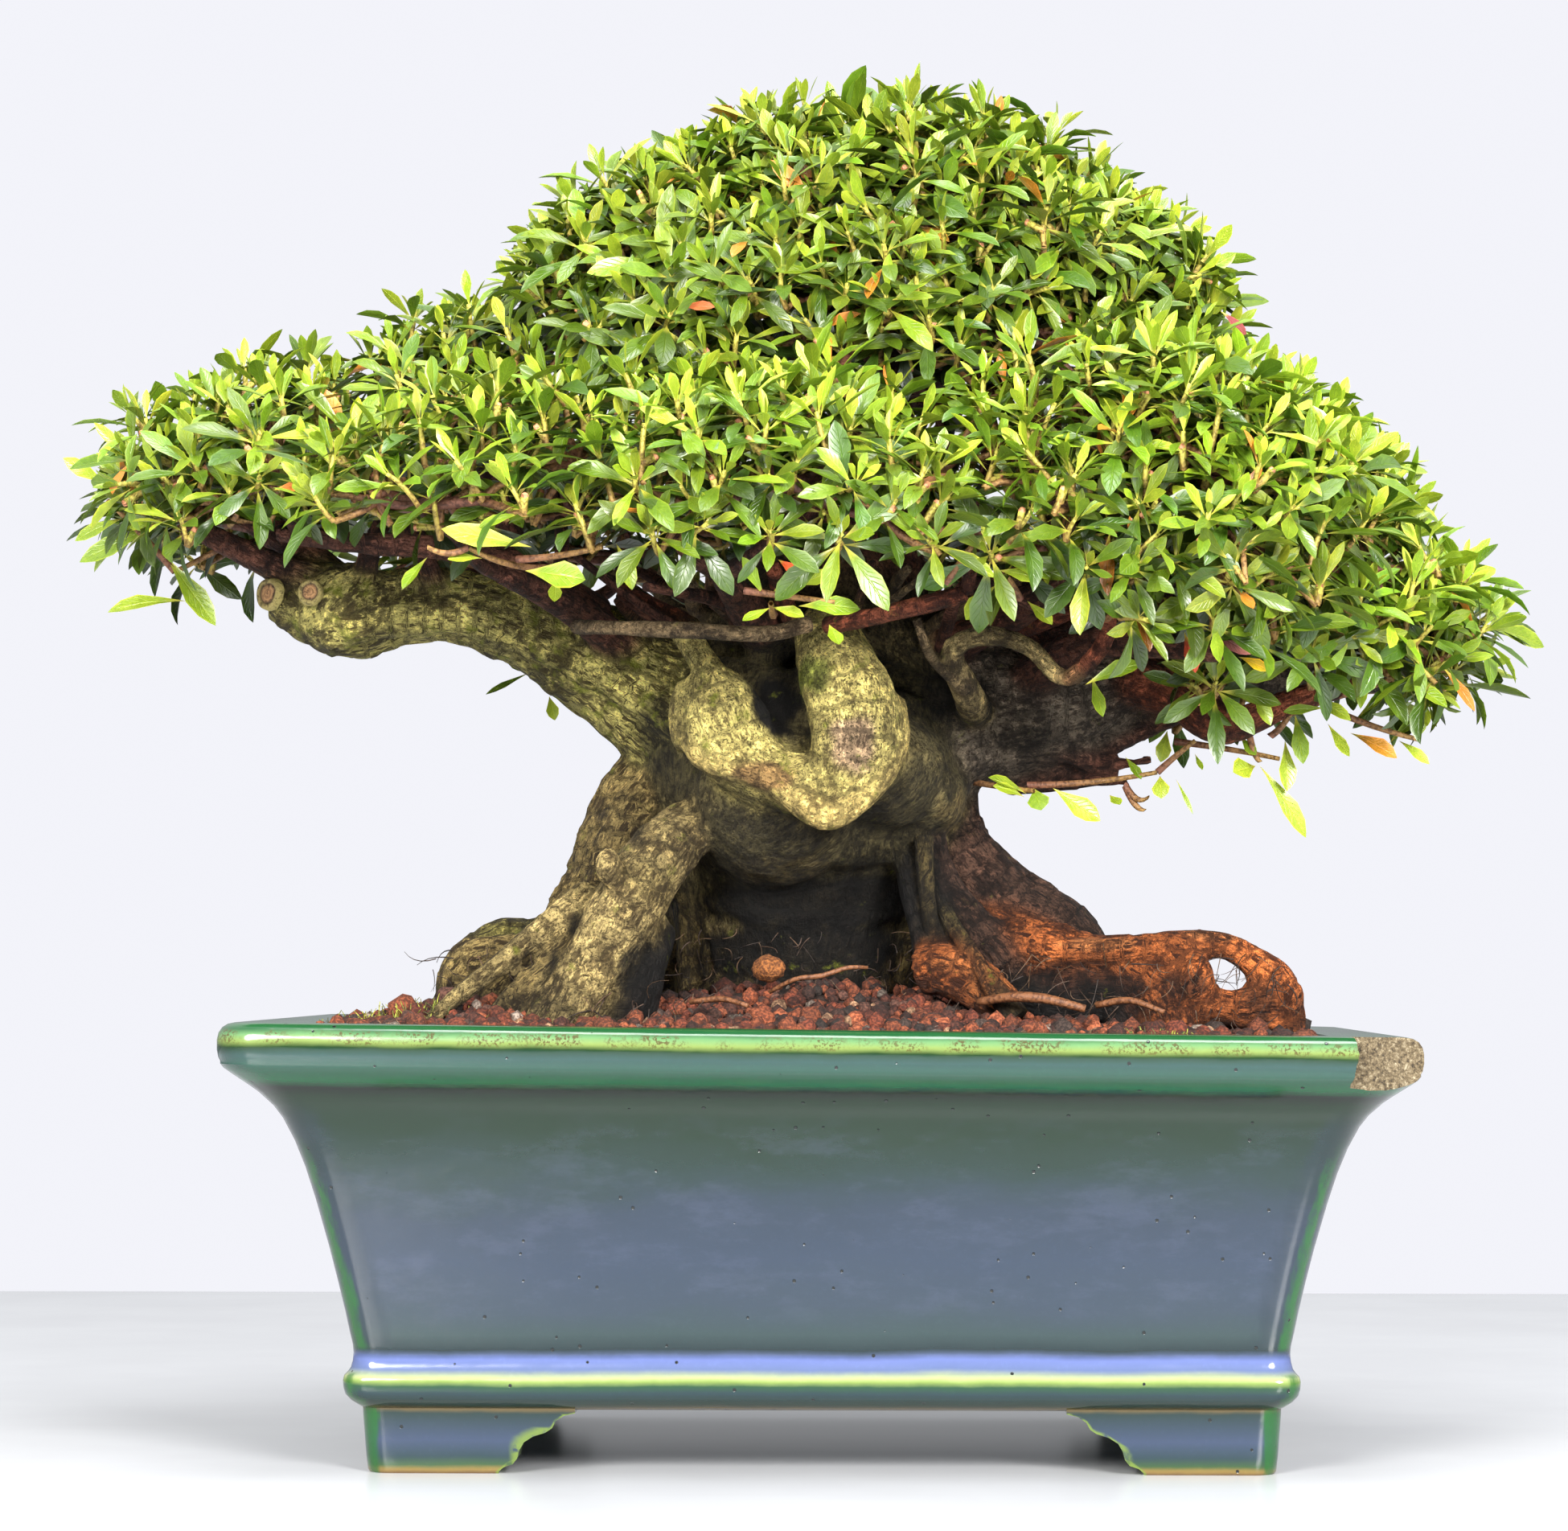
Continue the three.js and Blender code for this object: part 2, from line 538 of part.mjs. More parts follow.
// The middle of each bunch, inside the canopy, and the way that it faces. Each next one is as far
// as it can be from those before it, which spreads them evenly from the left tip onwards.
function planSprays() {
  const candidates = canopyPoints(3000).map(({ at, normal }) => ({
    hub: at.clone().addScaledVector(normal, -CORE_DEPTH),
    normal,
    clearance: Infinity,
  }));
  let next = candidates.reduce((a, b) => (b.hub.x < a.hub.x ? b : a));
  const chosen = [];
  while (chosen.length < BUNCHES) {
    chosen.push(next);
    for (const c of candidates) c.clearance = Math.min(c.clearance, c.hub.distanceTo(next.hub));
    next = candidates.reduce((a, b) => (b.clearance > a.clearance ? b : a));
  }
  return chosen;
}

// The branch that carries a bunch: rooted in the nearest thick wood, rising to the bunch's hub.
function branchTo(hub, index) {
  let best = null;
  for (const [points] of [[TRUNK.slice(4)], ...LIMBS])
    for (const [x, y, z, radius] of points) {
      const at = vec([x, y, z]);
      const cost = at.distanceTo(hub) + 0.6 * Math.max(0, z - hub.z + 10);
      if (!best || cost < best.cost) best = { cost, at, radius };
    }
  const span = hub.clone().sub(best.at);
  const bend = new THREE.Vector3(0, 0, -0.12 * span.length());
  bend.addScaledVector(perpendicular(span.clone().normalize(), 2.1 * index), 0.07 * span.length());
  const at = (share, radius) => {
    const p = best.at.clone().addScaledVector(span, share);
    p.addScaledVector(bend, 4 * share * (1 - share));
    return [p.x, p.y, p.z, radius];
  };
  const thick = Math.min(5, 0.8 * best.radius);
  const root = -thick / span.length();
  const points = [at(root, thick), at(0.5, 0.7 * thick), at(1, 2)];
  return [points, { sides: 3, ridge: 0.05, phase: index }];
}

function meets(solid, others) {
  return others.some((other) => solid.intersect(other).volume() > 1e-6);
}

// The rough twenty-sided core of a bunch, with one facet square to the way that the bunch faces.
function coreGeometry(hub, normal, radius, random) {
  const geometry = new THREE.IcosahedronGeometry(1, 0);
  const position = geometry.getAttribute("position");
  const corner = (i) => new THREE.Vector3().fromBufferAttribute(position, i);
  const facet = corner(0).add(corner(1)).add(corner(2)).normalize();
  geometry.applyQuaternion(new THREE.Quaternion().setFromUnitVectors(facet, normal));
  geometry.applyQuaternion(new THREE.Quaternion().setFromAxisAngle(normal, 2 * Math.PI * random()));
  const phase = 6 * random();
  for (let i = 0; i < position.count; i++) {
    const p = corner(i).multiplyScalar(radius);
    p.multiplyScalar(1 + 0.22 * ripple(p, 40, phase));
    p.z *= CORE_FLATNESS;
    p.add(hub);
    position.setXYZ(i, p.x, p.y, p.z);
  }
  return geometry;
}

// The facets that carry a whorl: the one that faces outwards, and every second one round it.
function whorlSites(geometry, normal) {
  const position = geometry.getAttribute("position");
  const sites = [];
  for (let i = 0; i < position.count; i += 3) {
    const [a, b, c] = [0, 1, 2].map((k) => new THREE.Vector3().fromBufferAttribute(position, i + k));
    const axis = b.clone().sub(a).cross(c.clone().sub(a)).normalize();
    sites.push({ at: a.add(b).add(c).divideScalar(3), axis, faces: axis.dot(normal) });
  }
  sites.sort((a, b) => b.faces - a.faces);
  const [top, ...others] = sites.slice(0, 10);
  const side = perpendicular(normal, 0);
  const across = new THREE.Vector3().crossVectors(normal, side);
  const turnOf = ({ axis }) => Math.atan2(axis.dot(across), axis.dot(side));
  const round = others.slice(3).sort((a, b) => turnOf(a) - turnOf(b));
  return [top, ...round.filter((_, i) => i % 2 === 0)];
}

// The bunches of foliage. All the cores are set out first, so that every leaf finds its way past them.
function makeSprays(plan, woodRoom) {
  const random = randomSeries(7);
  const bunches = plan.map(({ hub, normal }) => {
    const others = plan.filter((p) => p.hub !== hub).map((p) => p.hub.distanceTo(hub));
    const radius = Math.min(CORE_RADIUS, 0.47 * Math.min(...others));
    const geometry = coreGeometry(hub, normal, radius, random);
    return { hub, sites: whorlSites(geometry, normal), solid: solidOfGeometry(geometry) };
  });
  for (const bunch of bunches) {
    const near = bunches.filter((b) => b !== bunch && b.hub.distanceTo(bunch.hub) < 110);
    const obstacles = [woodRoom, ...near.map((b) => b.solid)];
    for (const { at, axis } of bunch.sites) {
      const turn = 2 * Math.PI * random();
      for (let i = 0; i < LEAVES_PER_WHORL; i++)
        for (let attempt = 0; attempt < 3; attempt++) {
          const lean = 0.45 + 0.7 * random() - 0.08 * attempt;
          const share = (i + 0.4 * (random() - 0.5)) / LEAVES_PER_WHORL;
          const out = perpendicular(axis, turn + 2 * Math.PI * share);
          const direction = axis.clone().multiplyScalar(Math.cos(lean));
          direction.addScaledVector(out, Math.sin(lean)).normalize();
          const base = at.clone().addScaledVector(axis, -1.6).addScaledVector(out, 0.6);
          const length = LEAF_LENGTH * (0.95 + 0.2 * random());
          const room = leaf(base, direction, axis, length + 0.6, LEAF_WIDTH + 0.8, LEAF_THICKNESS + 0.9);
          if (meets(room, obstacles)) continue;
          bunch.solid = bunch.solid.add(leaf(base, direction, axis, length, LEAF_WIDTH, LEAF_THICKNESS));
          break;
        }
    }
  }
  return bunches.map(({ solid }) => biggestBody(solid.subtract(woodRoom)));
}

// ---------------------------------------------------------------- soil

// Height of the soil: level with the rim at its edge, mounded round the roots.
function soilHeight(x, y) {
  const edge = RIM_TOP + warp(x, RIM_TOP) - SOIL_EDGE_BELOW_RIM;
  const mound = SOIL_MOUND * Math.exp(-(((x + 5) / 112) ** 2) - ((y - 5) / 78) ** 2);
  const humus = 6 * Math.exp(-(((x + 116) / 22) ** 2) - ((y + 40) / 26) ** 2);
  const p = new THREE.Vector3(x, y, 0);
  return edge + mound + humus + 0.8 * ripple(p, 48, 0.9) + 0.5 * ripple(p, 21, 2.2);
}

function makeSoil(woodRoom) {
  const random = randomSeries(3);
  const options = { stepsPerCorner: 2, alongSides: 4 };
  const bottom = FLOOR_TOP + GAP + MESH_THICKNESS + GAP;
  const rings = [bottom, 76, 98, 125].map((z) =>
    potRing(innerInset(z) + GAP, z, options));
  const rim = potRing(innerInset(RIM_TOP - 4) + GAP, 0, options);
  const shares = [1, 0.94, 0.86, 0.77, 0.67, 0.56, 0.43, 0.28];
  for (const share of shares)
    rings.push(rim.map((p) => {
      const wander = share === 1 ? 0 : 3.2;
      const x = p.x * share + wander * (random() - 0.5);
      const y = p.y * share + wander * (random() - 0.5);
      const grain = share === 1 ? 0 : GRAIN_HEIGHT * (random() - 0.3);
      return new THREE.Vector3(x, y, soilHeight(x, y) + grain);
    }));
  return biggestBody(loft(rings).subtract(woodRoom));
}

// ---------------------------------------------------------------- assembly

const glaze = new THREE.MeshStandardMaterial({ color: 0x55707a, roughness: 0.2, metalness: 0 });
const akadama = new THREE.MeshStandardMaterial({ color: 0x7a4f3a, roughness: 0.95, metalness: 0 });
const netting = new THREE.MeshStandardMaterial({ color: 0x2c2c2c, roughness: 0.7, metalness: 0 });
const bark = new THREE.MeshStandardMaterial({ color: 0x6f6a4a, roughness: 0.85, metalness: 0 });
const foliage = new THREE.MeshStandardMaterial({ color: 0x4f8a34, roughness: 0.5, metalness: 0 });

const plan = planSprays();
const branches = plan.map(({ hub }, i) => branchTo(hub, i));
const wood = biggestBody(joined(woodSolids(branches, 0)));
const woodRoom = joined(woodSolids(branches, GROW));

const bonsai = new THREE.Group();
bonsai.add(meshOf("pot", makePot(), glaze));
bonsai.add(meshOf("soil", makeSoil(woodRoom), akadama));
bonsai.add(meshOf("drain_mesh_left", makeDrainMesh(-DRAIN_X), netting));
bonsai.add(meshOf("drain_mesh_right", makeDrainMesh(DRAIN_X), netting));
bonsai.add(meshOf("trunk", wood, bark));
makeSprays(plan, woodRoom).forEach((spray, i) => {
  bonsai.add(meshOf("spray_" + String(i + 1).padStart(2, "0"), spray, foliage));
});

const box = new THREE.Box3().setFromObject(bonsai);
const middle = box.getCenter(new THREE.Vector3());
bonsai.position.set(-middle.x, -middle.y, -box.min.z);

export default bonsai;
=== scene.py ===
"""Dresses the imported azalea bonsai: leaf whorls on shoots, bark, roots, clay granules, moss and glaze.

Lengths are in millimetres in the pot's own frame (its centre on the table, X along it, -Y to the front)
until row() turns them into metres in the shared frame.
"""

import math

import bmesh
import bpy
import numpy as np
from mathutils import Matrix, Vector


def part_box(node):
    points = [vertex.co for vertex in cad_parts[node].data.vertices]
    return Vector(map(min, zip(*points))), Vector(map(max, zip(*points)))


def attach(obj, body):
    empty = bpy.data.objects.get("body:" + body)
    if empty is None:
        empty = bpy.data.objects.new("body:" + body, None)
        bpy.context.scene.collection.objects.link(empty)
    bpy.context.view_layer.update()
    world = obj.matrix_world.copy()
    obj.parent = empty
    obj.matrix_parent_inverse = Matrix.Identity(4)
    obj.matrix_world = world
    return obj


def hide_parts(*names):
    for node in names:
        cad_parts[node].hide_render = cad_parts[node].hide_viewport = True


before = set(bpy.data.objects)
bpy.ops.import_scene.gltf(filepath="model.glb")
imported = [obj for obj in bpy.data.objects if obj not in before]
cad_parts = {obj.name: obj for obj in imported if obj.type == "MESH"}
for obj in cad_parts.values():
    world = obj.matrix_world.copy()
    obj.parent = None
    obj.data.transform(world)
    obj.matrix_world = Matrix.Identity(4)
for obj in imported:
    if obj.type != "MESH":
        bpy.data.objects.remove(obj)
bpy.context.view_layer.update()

POT_LOW, POT_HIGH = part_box("pot")
ORIGIN = np.array([(POT_LOW.x + POT_HIGH.x) / 2, (POT_LOW.y + POT_HIGH.y) / 2, 0.0])
MM = 0.001

# ---------------------------------------------------------------- driving sizes

RIM_HALF_LENGTH = (POT_HIGH.x - POT_LOW.x) / 2 / MM
RIM_HALF_DEPTH = (POT_HIGH.y - POT_LOW.y) / 2 / MM
RIM_TOP = 133.25
# How much higher the rim's left end is than its right end, and the height that this warp starts at.
RIM_WARP = 4.5
WARP_FROM = 60
FOOT_HEIGHT = 19.2
SOIL_LINE = 136

# The rounded masses that the leaf tips fill: centre and half-sizes.
CANOPY_HEART = np.array([10.0, 0.0, 275.0])
CANOPY = [
    ((18, 10, 345), (118, 100, 93)),
    ((-45, 5, 358), (66, 82, 56)),
    ((-105, 0, 318), (62, 75, 52)),
    ((-162, -10, 300), (75, 85, 50)),
    ((-15, -85, 290), (95, 68, 50)),
    ((-95, -75, 288), (75, 60, 48)),
    ((85, -75, 290), (85, 65, 60)),
    ((128, 0, 281), (67, 85, 69)),
    ((160, -15, 256), (56, 70, 41)),
    ((-90, 80, 295), (80, 60, 52)),
    ((0, 90, 300), (90, 60, 60)),
    ((90, 80, 295), (80, 60, 60)),
]


def row(points):
    """Millimetres in the pot's frame as metres in the shared frame."""
    return np.asarray(points, float) * MM + ORIGIN


def pot_frame(points):
    """Metres in the shared frame as millimetres in the pot's frame."""
    return (np.asarray(points, float) - ORIGIN) / MM


def srgb(red, green, blue):
    """A colour as seen, 0 to 255, as linear light."""
    c = np.array([red, green, blue]) / 255
    return np.where(c <= 0.04045, c / 12.92, ((c + 0.055) / 1.055) ** 2.4)


def unit(v):
    """Vectors made 1 long."""
    return v / np.maximum(np.linalg.norm(v, axis=-1, keepdims=True), 1e-12)


def smoothstep(low, high, x):
    """From 0 at low to 1 at high, smoothly."""
    t = np.clip((x - low) / (high - low), 0, 1)
    return t * t * (3 - 2 * t)


# ---------------------------------------------------------------- noise


def lattice(ix, iy, iz, seed):
    """A fixed random number from -1 to 1 at each whole-numbered point."""
    n = ix.astype(np.uint32) * np.uint32(73856093)
    n ^= iy.astype(np.uint32) * np.uint32(19349663)
    n ^= iz.astype(np.uint32) * np.uint32(83492791)
    n ^= np.uint32((seed * 2654435761) % 4294967296)
    n = (n ^ (n >> np.uint32(13))) * np.uint32(1274126177)
    n = (n ^ (n >> np.uint32(15))) * np.uint32(2246822519)
    n ^= n >> np.uint32(16)
    return n.astype(float) / 2147483647.5 - 1


def noise(points, size, seed=0):
    """Smooth noise between -1 and 1 that changes over about the given length."""
    q = np.asarray(points, float) / size
    low = np.floor(q)
    share = q - low
    share = share * share * (3 - 2 * share)
    low = low.astype(np.int64)
    total = np.zeros(len(q))
    for dx in (0, 1):
        for dy in (0, 1):
            for dz in (0, 1):
                weight = np.abs(1 - dx - share[:, 0]) * np.abs(1 - dy - share[:, 1])
                weight *= np.abs(1 - dz - share[:, 2])
                total += weight * lattice(low[:, 0] + dx, low[:, 1] + dy, low[:, 2] + dz, seed)
    return total


# ---------------------------------------------------------------- mesh building


def set_attribute(mesh, label, values):
    """Gives each point a vector (three numbers) or a colour (four)."""
    values = np.asarray(values, np.float32)
    kind, key = ("FLOAT_VECTOR", "vector") if values.shape[1] == 3 else ("FLOAT_COLOR", "color")
    layer = mesh.attributes.new(label, kind, "POINT")
    layer.data.foreach_set(key, values.ravel())


def set_shading(mesh, smooth=True):
    """Makes all faces look round (smooth) or flat."""
    mesh.polygons.foreach_set("use_smooth", np.full(len(mesh.polygons), smooth))


def mesh_object(name, points, faces, materials, face_material=None, smooth=True, attributes=None):
    """An object from millimetre points and lists of faces (arrays of 3 or 4 corners)."""
    mesh = bpy.data.meshes.new(name)
    points = row(points)
    mesh.vertices.add(len(points))
    mesh.vertices.foreach_set("co", points.astype(np.float32).ravel())
    corners = np.concatenate([np.asarray(f, np.int32).ravel() for f in faces])
    sizes = np.concatenate([np.full(len(f), np.asarray(f).shape[1], np.int32) for f in faces])
    starts = np.concatenate([[0], np.cumsum(sizes)[:-1]]).astype(np.int32)
    mesh.loops.add(len(corners))
    mesh.loops.foreach_set("vertex_index", corners)
    mesh.polygons.add(len(sizes))
    mesh.polygons.foreach_set("loop_start", starts)
    if face_material is not None:
        mesh.polygons.foreach_set("material_index", np.asarray(face_material, np.int32))
    mesh.update(calc_edges=True)
    set_shading(mesh, smooth)
    for label, values in (attributes or {}).items():
        set_attribute(mesh, label, values)
    for material in materials:
        mesh.materials.append(material)
    obj = bpy.data.objects.new(name, mesh)
    bpy.context.scene.collection.objects.link(obj)
    return obj


def read_vectors(data, key):
    """The vectors that a mesh's list holds under a key."""
    flat = np.zeros(len(data) * 3, np.float32)
    data.foreach_get(key, flat)
    return flat.reshape(-1, 3)


def read_points(mesh):
    """A mesh's points in millimetres."""
    return pot_frame(read_vectors(mesh.vertices, "co"))


def with_alpha(colours):
    """The colours with a fourth number, 1."""
    return np.concatenate([colours, np.ones((len(colours), 1))], axis=1)


def spread_over(points, tints):
    """A colour for each point, from one tint for each of the equal shapes that the points make up."""
    return with_alpha(np.repeat(tints, len(points) // len(tints), axis=0))


def copies(faces, count, size):
    """The faces of many equal shapes with size points each."""
    offset = (np.arange(count) * size)[:, None, None]
    return (faces[None] + offset).reshape(-1, faces.shape[1])


class Pile:
    """Points, faces and values gathered from many small shapes, for one mesh."""

    def __init__(self):
        self.points, self.faces, self.materials, self.values, self.count = [], [], [], {}, 0

    def add(self, points, faces, material=0, **values):
        self.points.append(points)
        for f in faces:
            self.faces.append(np.asarray(f) + self.count)
            self.materials.append(np.full(len(f), material))
        for key, value in values.items():
            self.values.setdefault(key, []).append(value)
        self.count += len(points)

    def build(self, name, materials):
        values = {key: np.concatenate(value) for key, value in self.values.items()}
        points, face_material = np.concatenate(self.points), np.concatenate(self.materials)
        return mesh_object(name, points, self.faces, materials, face_material, attributes=values)


def circle(sides):
    """The cosines and sines of a ring's corners."""
    angle = 2 * np.pi * np.arange(sides) / sides
    return np.cos(angle), np.sin(angle)


def faces_between(grid):
    """The faces between neighbouring rings, from a grid of point numbers whose last axis goes round."""
    turned = np.roll(grid, -1, -1)
    corners = [grid[..., :-1, :], turned[..., :-1, :], turned[..., 1:, :], grid[..., 1:, :]]
    return np.stack(corners, axis=-1).reshape(-1, 4)


def numbered(*shape):
    """Point numbers from 0, laid out in rows."""
    return np.arange(math.prod(shape)).reshape(shape)


def smooth_path(points, step):
    """Places, radii and tangents along a Catmull-Rom curve through [x, y, z, radius] points."""
    p = np.asarray(points, float)
    padded = np.concatenate([[2 * p[0] - p[1]], p, [2 * p[-1] - p[-2]]])
    out = []
    for i in range(len(p) - 1):
        a, b, c, d = padded[i : i + 4]
        count = max(2, int(np.linalg.norm(c[:3] - b[:3]) / step))
        t = np.arange(count)[:, None] / count
        square, cube = 2 * a - 5 * b + 4 * c - d, 3 * b - a - 3 * c + d
        out.append(0.5 * (2 * b + (c - a) * t + square * t**2 + cube * t**3))
    path = np.concatenate([*out, p[-1:]])
    tangent = unit(np.gradient(path[:, :3], axis=0))
    return path[:, :3], path[:, 3], tangent


def tube(points, sides=12, step=4.0, wobble=0.05, seed=1):
    """Points and faces of a closed limb along a smooth curve."""
    centre, radius, tangent = smooth_path(points, step)
    side = np.array([1.0, 0.0, 0.0]) if abs(tangent[0][0]) < 0.8 else np.array([0.0, 1.0, 0.0])
    cos, sin = circle(sides)
    rings = []
    for c, r, t in zip(centre, radius, tangent):
        side = unit(side - side.dot(t) * t)
        other = np.cross(t, side)
        direction = np.outer(cos, side) + np.outer(sin, other)
        rings.append(c + direction * r * (1 + wobble * noise(c + direction * r, 11, seed))[:, None])
    count = len(rings)
    grid = numbered(count, sides)
    first = np.stack([np.full(sides, count * sides), np.roll(grid[0], -1), grid[0]], axis=-1)
    last = np.stack([np.full(sides, count * sides + 1), grid[-1], np.roll(grid[-1], -1)], axis=-1)
    return np.concatenate([*rings, [centre[0]], [centre[-1]]]), [faces_between(grid), first, last]


def strands(start, middle, end, thick, thin, rings=4, sides=4):
    """Many thin curved stalks at once: points, faces and each point's share along its stalk."""
    count = len(start)
    t = np.linspace(0, 1, rings)[None, :, None]
    path = (1 - t) ** 2 * start[:, None] + 2 * t * (1 - t) * middle[:, None] + t**2 * end[:, None]
    tangent = unit(end - start)
    reference = np.where(np.abs(tangent[:, 2:]) < 0.9, [[0.0, 0.0, 1.0]], [[1.0, 0.0, 0.0]])
    side = unit(np.cross(tangent, reference))
    other = np.cross(tangent, side)
    cos, sin = circle(sides)
    ring = side[:, None] * cos[None, :, None] + other[:, None] * sin[None, :, None]
    radius = thick[:, None, None] * (1 - t) + thin[:, None, None] * t
    points = path[:, :, None, :] + ring[:, None] * radius[:, :, None]
    grid = numbered(count, rings, sides)
    faces = [faces_between(grid)]
    # Only thin stalks get an end face.
    if sides in (3, 4):
        faces.append(grid[:, -1])
    along = np.broadcast_to(t[:, :, None], (count, rings, sides, 1)).reshape(-1)
    return points.reshape(-1, 3), faces, along


# ---------------------------------------------------------------- materials


class Nodes:
    """A short way to write a node tree. Its methods make a node and give back its output."""

    def __init__(self, name):
        self.material = bpy.data.materials.new(name)
        self.material.use_nodes = True
        self.tree = self.material.node_tree
        self.shader = self.tree.nodes["Principled BSDF"]

    def node(self, kind, inputs=None, **settings):
        made = self.tree.nodes.new(kind)
        for key, value in settings.items():
            setattr(made, key, value)
        for key, value in (inputs or {}).items():
            self.put(made.inputs[key], value)
        return made

    def put(self, socket, value):
        if isinstance(value, bpy.types.NodeSocket):
            self.tree.links.new(value, socket)
        elif hasattr(value, "__len__") and len(value) == 3 and len(socket.default_value) == 4:
            socket.default_value = (*value, 1)
        else:
            socket.default_value = value

    def math(self, operation, a, b=0.0):
        return self.node("ShaderNodeMath", {0: a, 1: b}, operation=operation).outputs[0]

    def plus(self, a, b):
        return self.math("ADD", a, b)

    def minus(self, a, b):
        return self.math("SUBTRACT", a, b)

    def times(self, a, b):
        return self.math("MULTIPLY", a, b)

    def mix(self, factor, a, b, blend="MIX"):
        made = self.node("ShaderNodeMix", data_type="RGBA", blend_type=blend)
        self.put(made.inputs[0], factor)
        self.put(made.inputs[6], a)
        self.put(made.inputs[7], b)
        return made.outputs[2]

    def tinted(self, colour, gains):
        """The colour with its red, green and blue multiplied."""
        return self.mix(1.0, colour, gains, "MULTIPLY")

    def over(self, colour, paint, share, strength):
        """The colour with paint over it, where the share is 1 as dense as the strength."""
        return self.mix(self.times(share, strength), colour, paint)

    def band(self, value, low, high):
        """From 0 at low to 1 at high, smoothly."""
        inputs = {"Value": value, "From Min": low, "From Max": high}
        return self.node("ShaderNodeMapRange", inputs, interpolation_type="SMOOTHSTEP").outputs[0]

    def below(self, value, low, high):
        """From 1 at low to 0 at high, smoothly."""
        return self.minus(1.0, self.band(value, low, high))

    def ramp(self, value, stops):
        made = self.node("ShaderNodeValToRGB", {"Fac": value})
        ramp = made.color_ramp
        ramp.interpolation = "LINEAR"
        while len(ramp.elements) < len(stops):
            ramp.elements.new(0.5)
        for element, (position, colour) in zip(ramp.elements, stops):
            element.position = position
            element.color = (*colour, 1)
        return made.outputs[0]

    def greys(self, value, stops):
        return self.ramp(value, [(position, (grey,) * 3) for position, grey in stops])

    def attribute(self, name, output="Color"):
        return self.node("ShaderNodeAttribute", attribute_name=name).outputs[output]

    def parts(self, name):
        """The three numbers of a vector attribute."""
        return self.node("ShaderNodeSeparateXYZ", {0: self.attribute(name, "Vector")}).outputs

    def millimetres(self):
        place = self.node("ShaderNodeTexCoord").outputs["Object"]
        return self.node("ShaderNodeVectorMath", {0: place, 3: 1 / MM}, operation="SCALE").outputs[0]

    def stretched(self, place, shares):
        return self.node("ShaderNodeVectorMath", {0: place, 1: shares}, operation="MULTIPLY").outputs[0]

    def noise(self, vector, size, detail=3.0, rough=0.55):
        inputs = {"Vector": vector, "Scale": 1 / size, "Detail": detail, "Roughness": rough}
        return self.node("ShaderNodeTexNoise", inputs).outputs[0]

    def spots(self, vector, size):
        """The distance from the middle of the nearest spot, as a share of the spots' spacing."""
        made = self.node("ShaderNodeTexVoronoi", {"Vector": vector, "Scale": 1 / size})
        return made.outputs["Distance"]

    def bump(self, height, distance, strength=1.0):
        """distance is how deep, in metres, a change of height from 0 to 1 looks."""
        made = self.node("ShaderNodeBump", {"Height": height, "Distance": distance, "Strength": strength})
        self.put(self.shader.inputs["Normal"], made.outputs[0])

    def finish(self, **sockets):
        for key, value in sockets.items():
            self.put(self.shader.inputs[key.replace("_", " ")], value)
        return self.material


def as_seen(stops):
    """Stops of a ramp whose colours are given as seen, 0 to 255."""
    return [(position, srgb(*colour)) for position, colour in stops]


def leaf_material():
    """Glossy leaf: tint by leaf, paler midrib, an edge that is paler and carries a painted sheen, faint
    side veins, down with painted glints, and dark specks.
    """
    m = Nodes("azalea_leaf")
    place, tint = m.millimetres(), m.attribute("leaf_tint")
    sideways, along, _ = m.parts("leaf_at")
    across = m.math("ABSOLUTE", sideways)
    mottle = m.noise(place, 5.0)
    colour = m.mix(m.band(mottle, 0.35, 0.7), m.tinted(tint, (0.72, 0.78, 0.7)), tint)
    slant = m.plus(m.times(along, 9.0), m.times(across, -2.2))
    vein = m.times(m.below(m.math("PINGPONG", slant, 0.5), 0.0, 0.14), m.below(across, 0.55, 0.95))
    pale = m.tinted(tint, (1.5, 1.35, 1.6))
    colour = m.over(colour, pale, vein, 0.22)
    rib = m.below(across, 0.02, 0.12)
    colour = m.over(colour, pale, rib, 0.4)
    # Pale edge: partly the leaf's own paler rim, partly a painted whitish sheen.
    colour = m.over(colour, m.tinted(tint, (1.9, 1.5, 2.2)), m.band(across, 0.8, 0.98), 0.55)
    # Fine pale dots: partly down, partly painted glints.
    down = m.noise(place, 0.8, rough=0.6)
    colour = m.over(colour, m.tinted(colour, (1.6, 1.4, 1.7)), m.band(down, 0.5, 0.64), 0.4)
    stalk = m.below(along, 0.06, 0.3)
    colour = m.over(colour, srgb(206, 196, 76), stalk, 0.85)
    speck = m.below(m.spots(place, 2.3), 0.05, 0.11)
    colour = m.over(colour, srgb(40, 48, 18), speck, 0.7)
    height = m.plus(m.times(rib, -0.8), m.times(vein, -0.5))
    m.bump(m.plus(height, m.times(mottle, 0.6)), 0.0003, 0.6)
    return m.finish(
        Base_Color=colour, Roughness=m.greys(mottle, [(0.3, 0.26), (0.7, 0.42)]), Specular_IOR_Level=0.65,
    )


def shoot_material():
    """Twigs and shoots, coloured along their length, with fine bark."""
    m = Nodes("azalea_shoot")
    place, tint = m.millimetres(), m.attribute("leaf_tint")
    fleck = m.noise(place, 1.1)
    colour = m.mix(m.band(fleck, 0.45, 0.62), tint, m.tinted(tint, (0.42, 0.36, 0.3)))
    m.bump(fleck, 0.0006, 0.7)
    return m.finish(Base_Color=colour, Roughness=0.6)


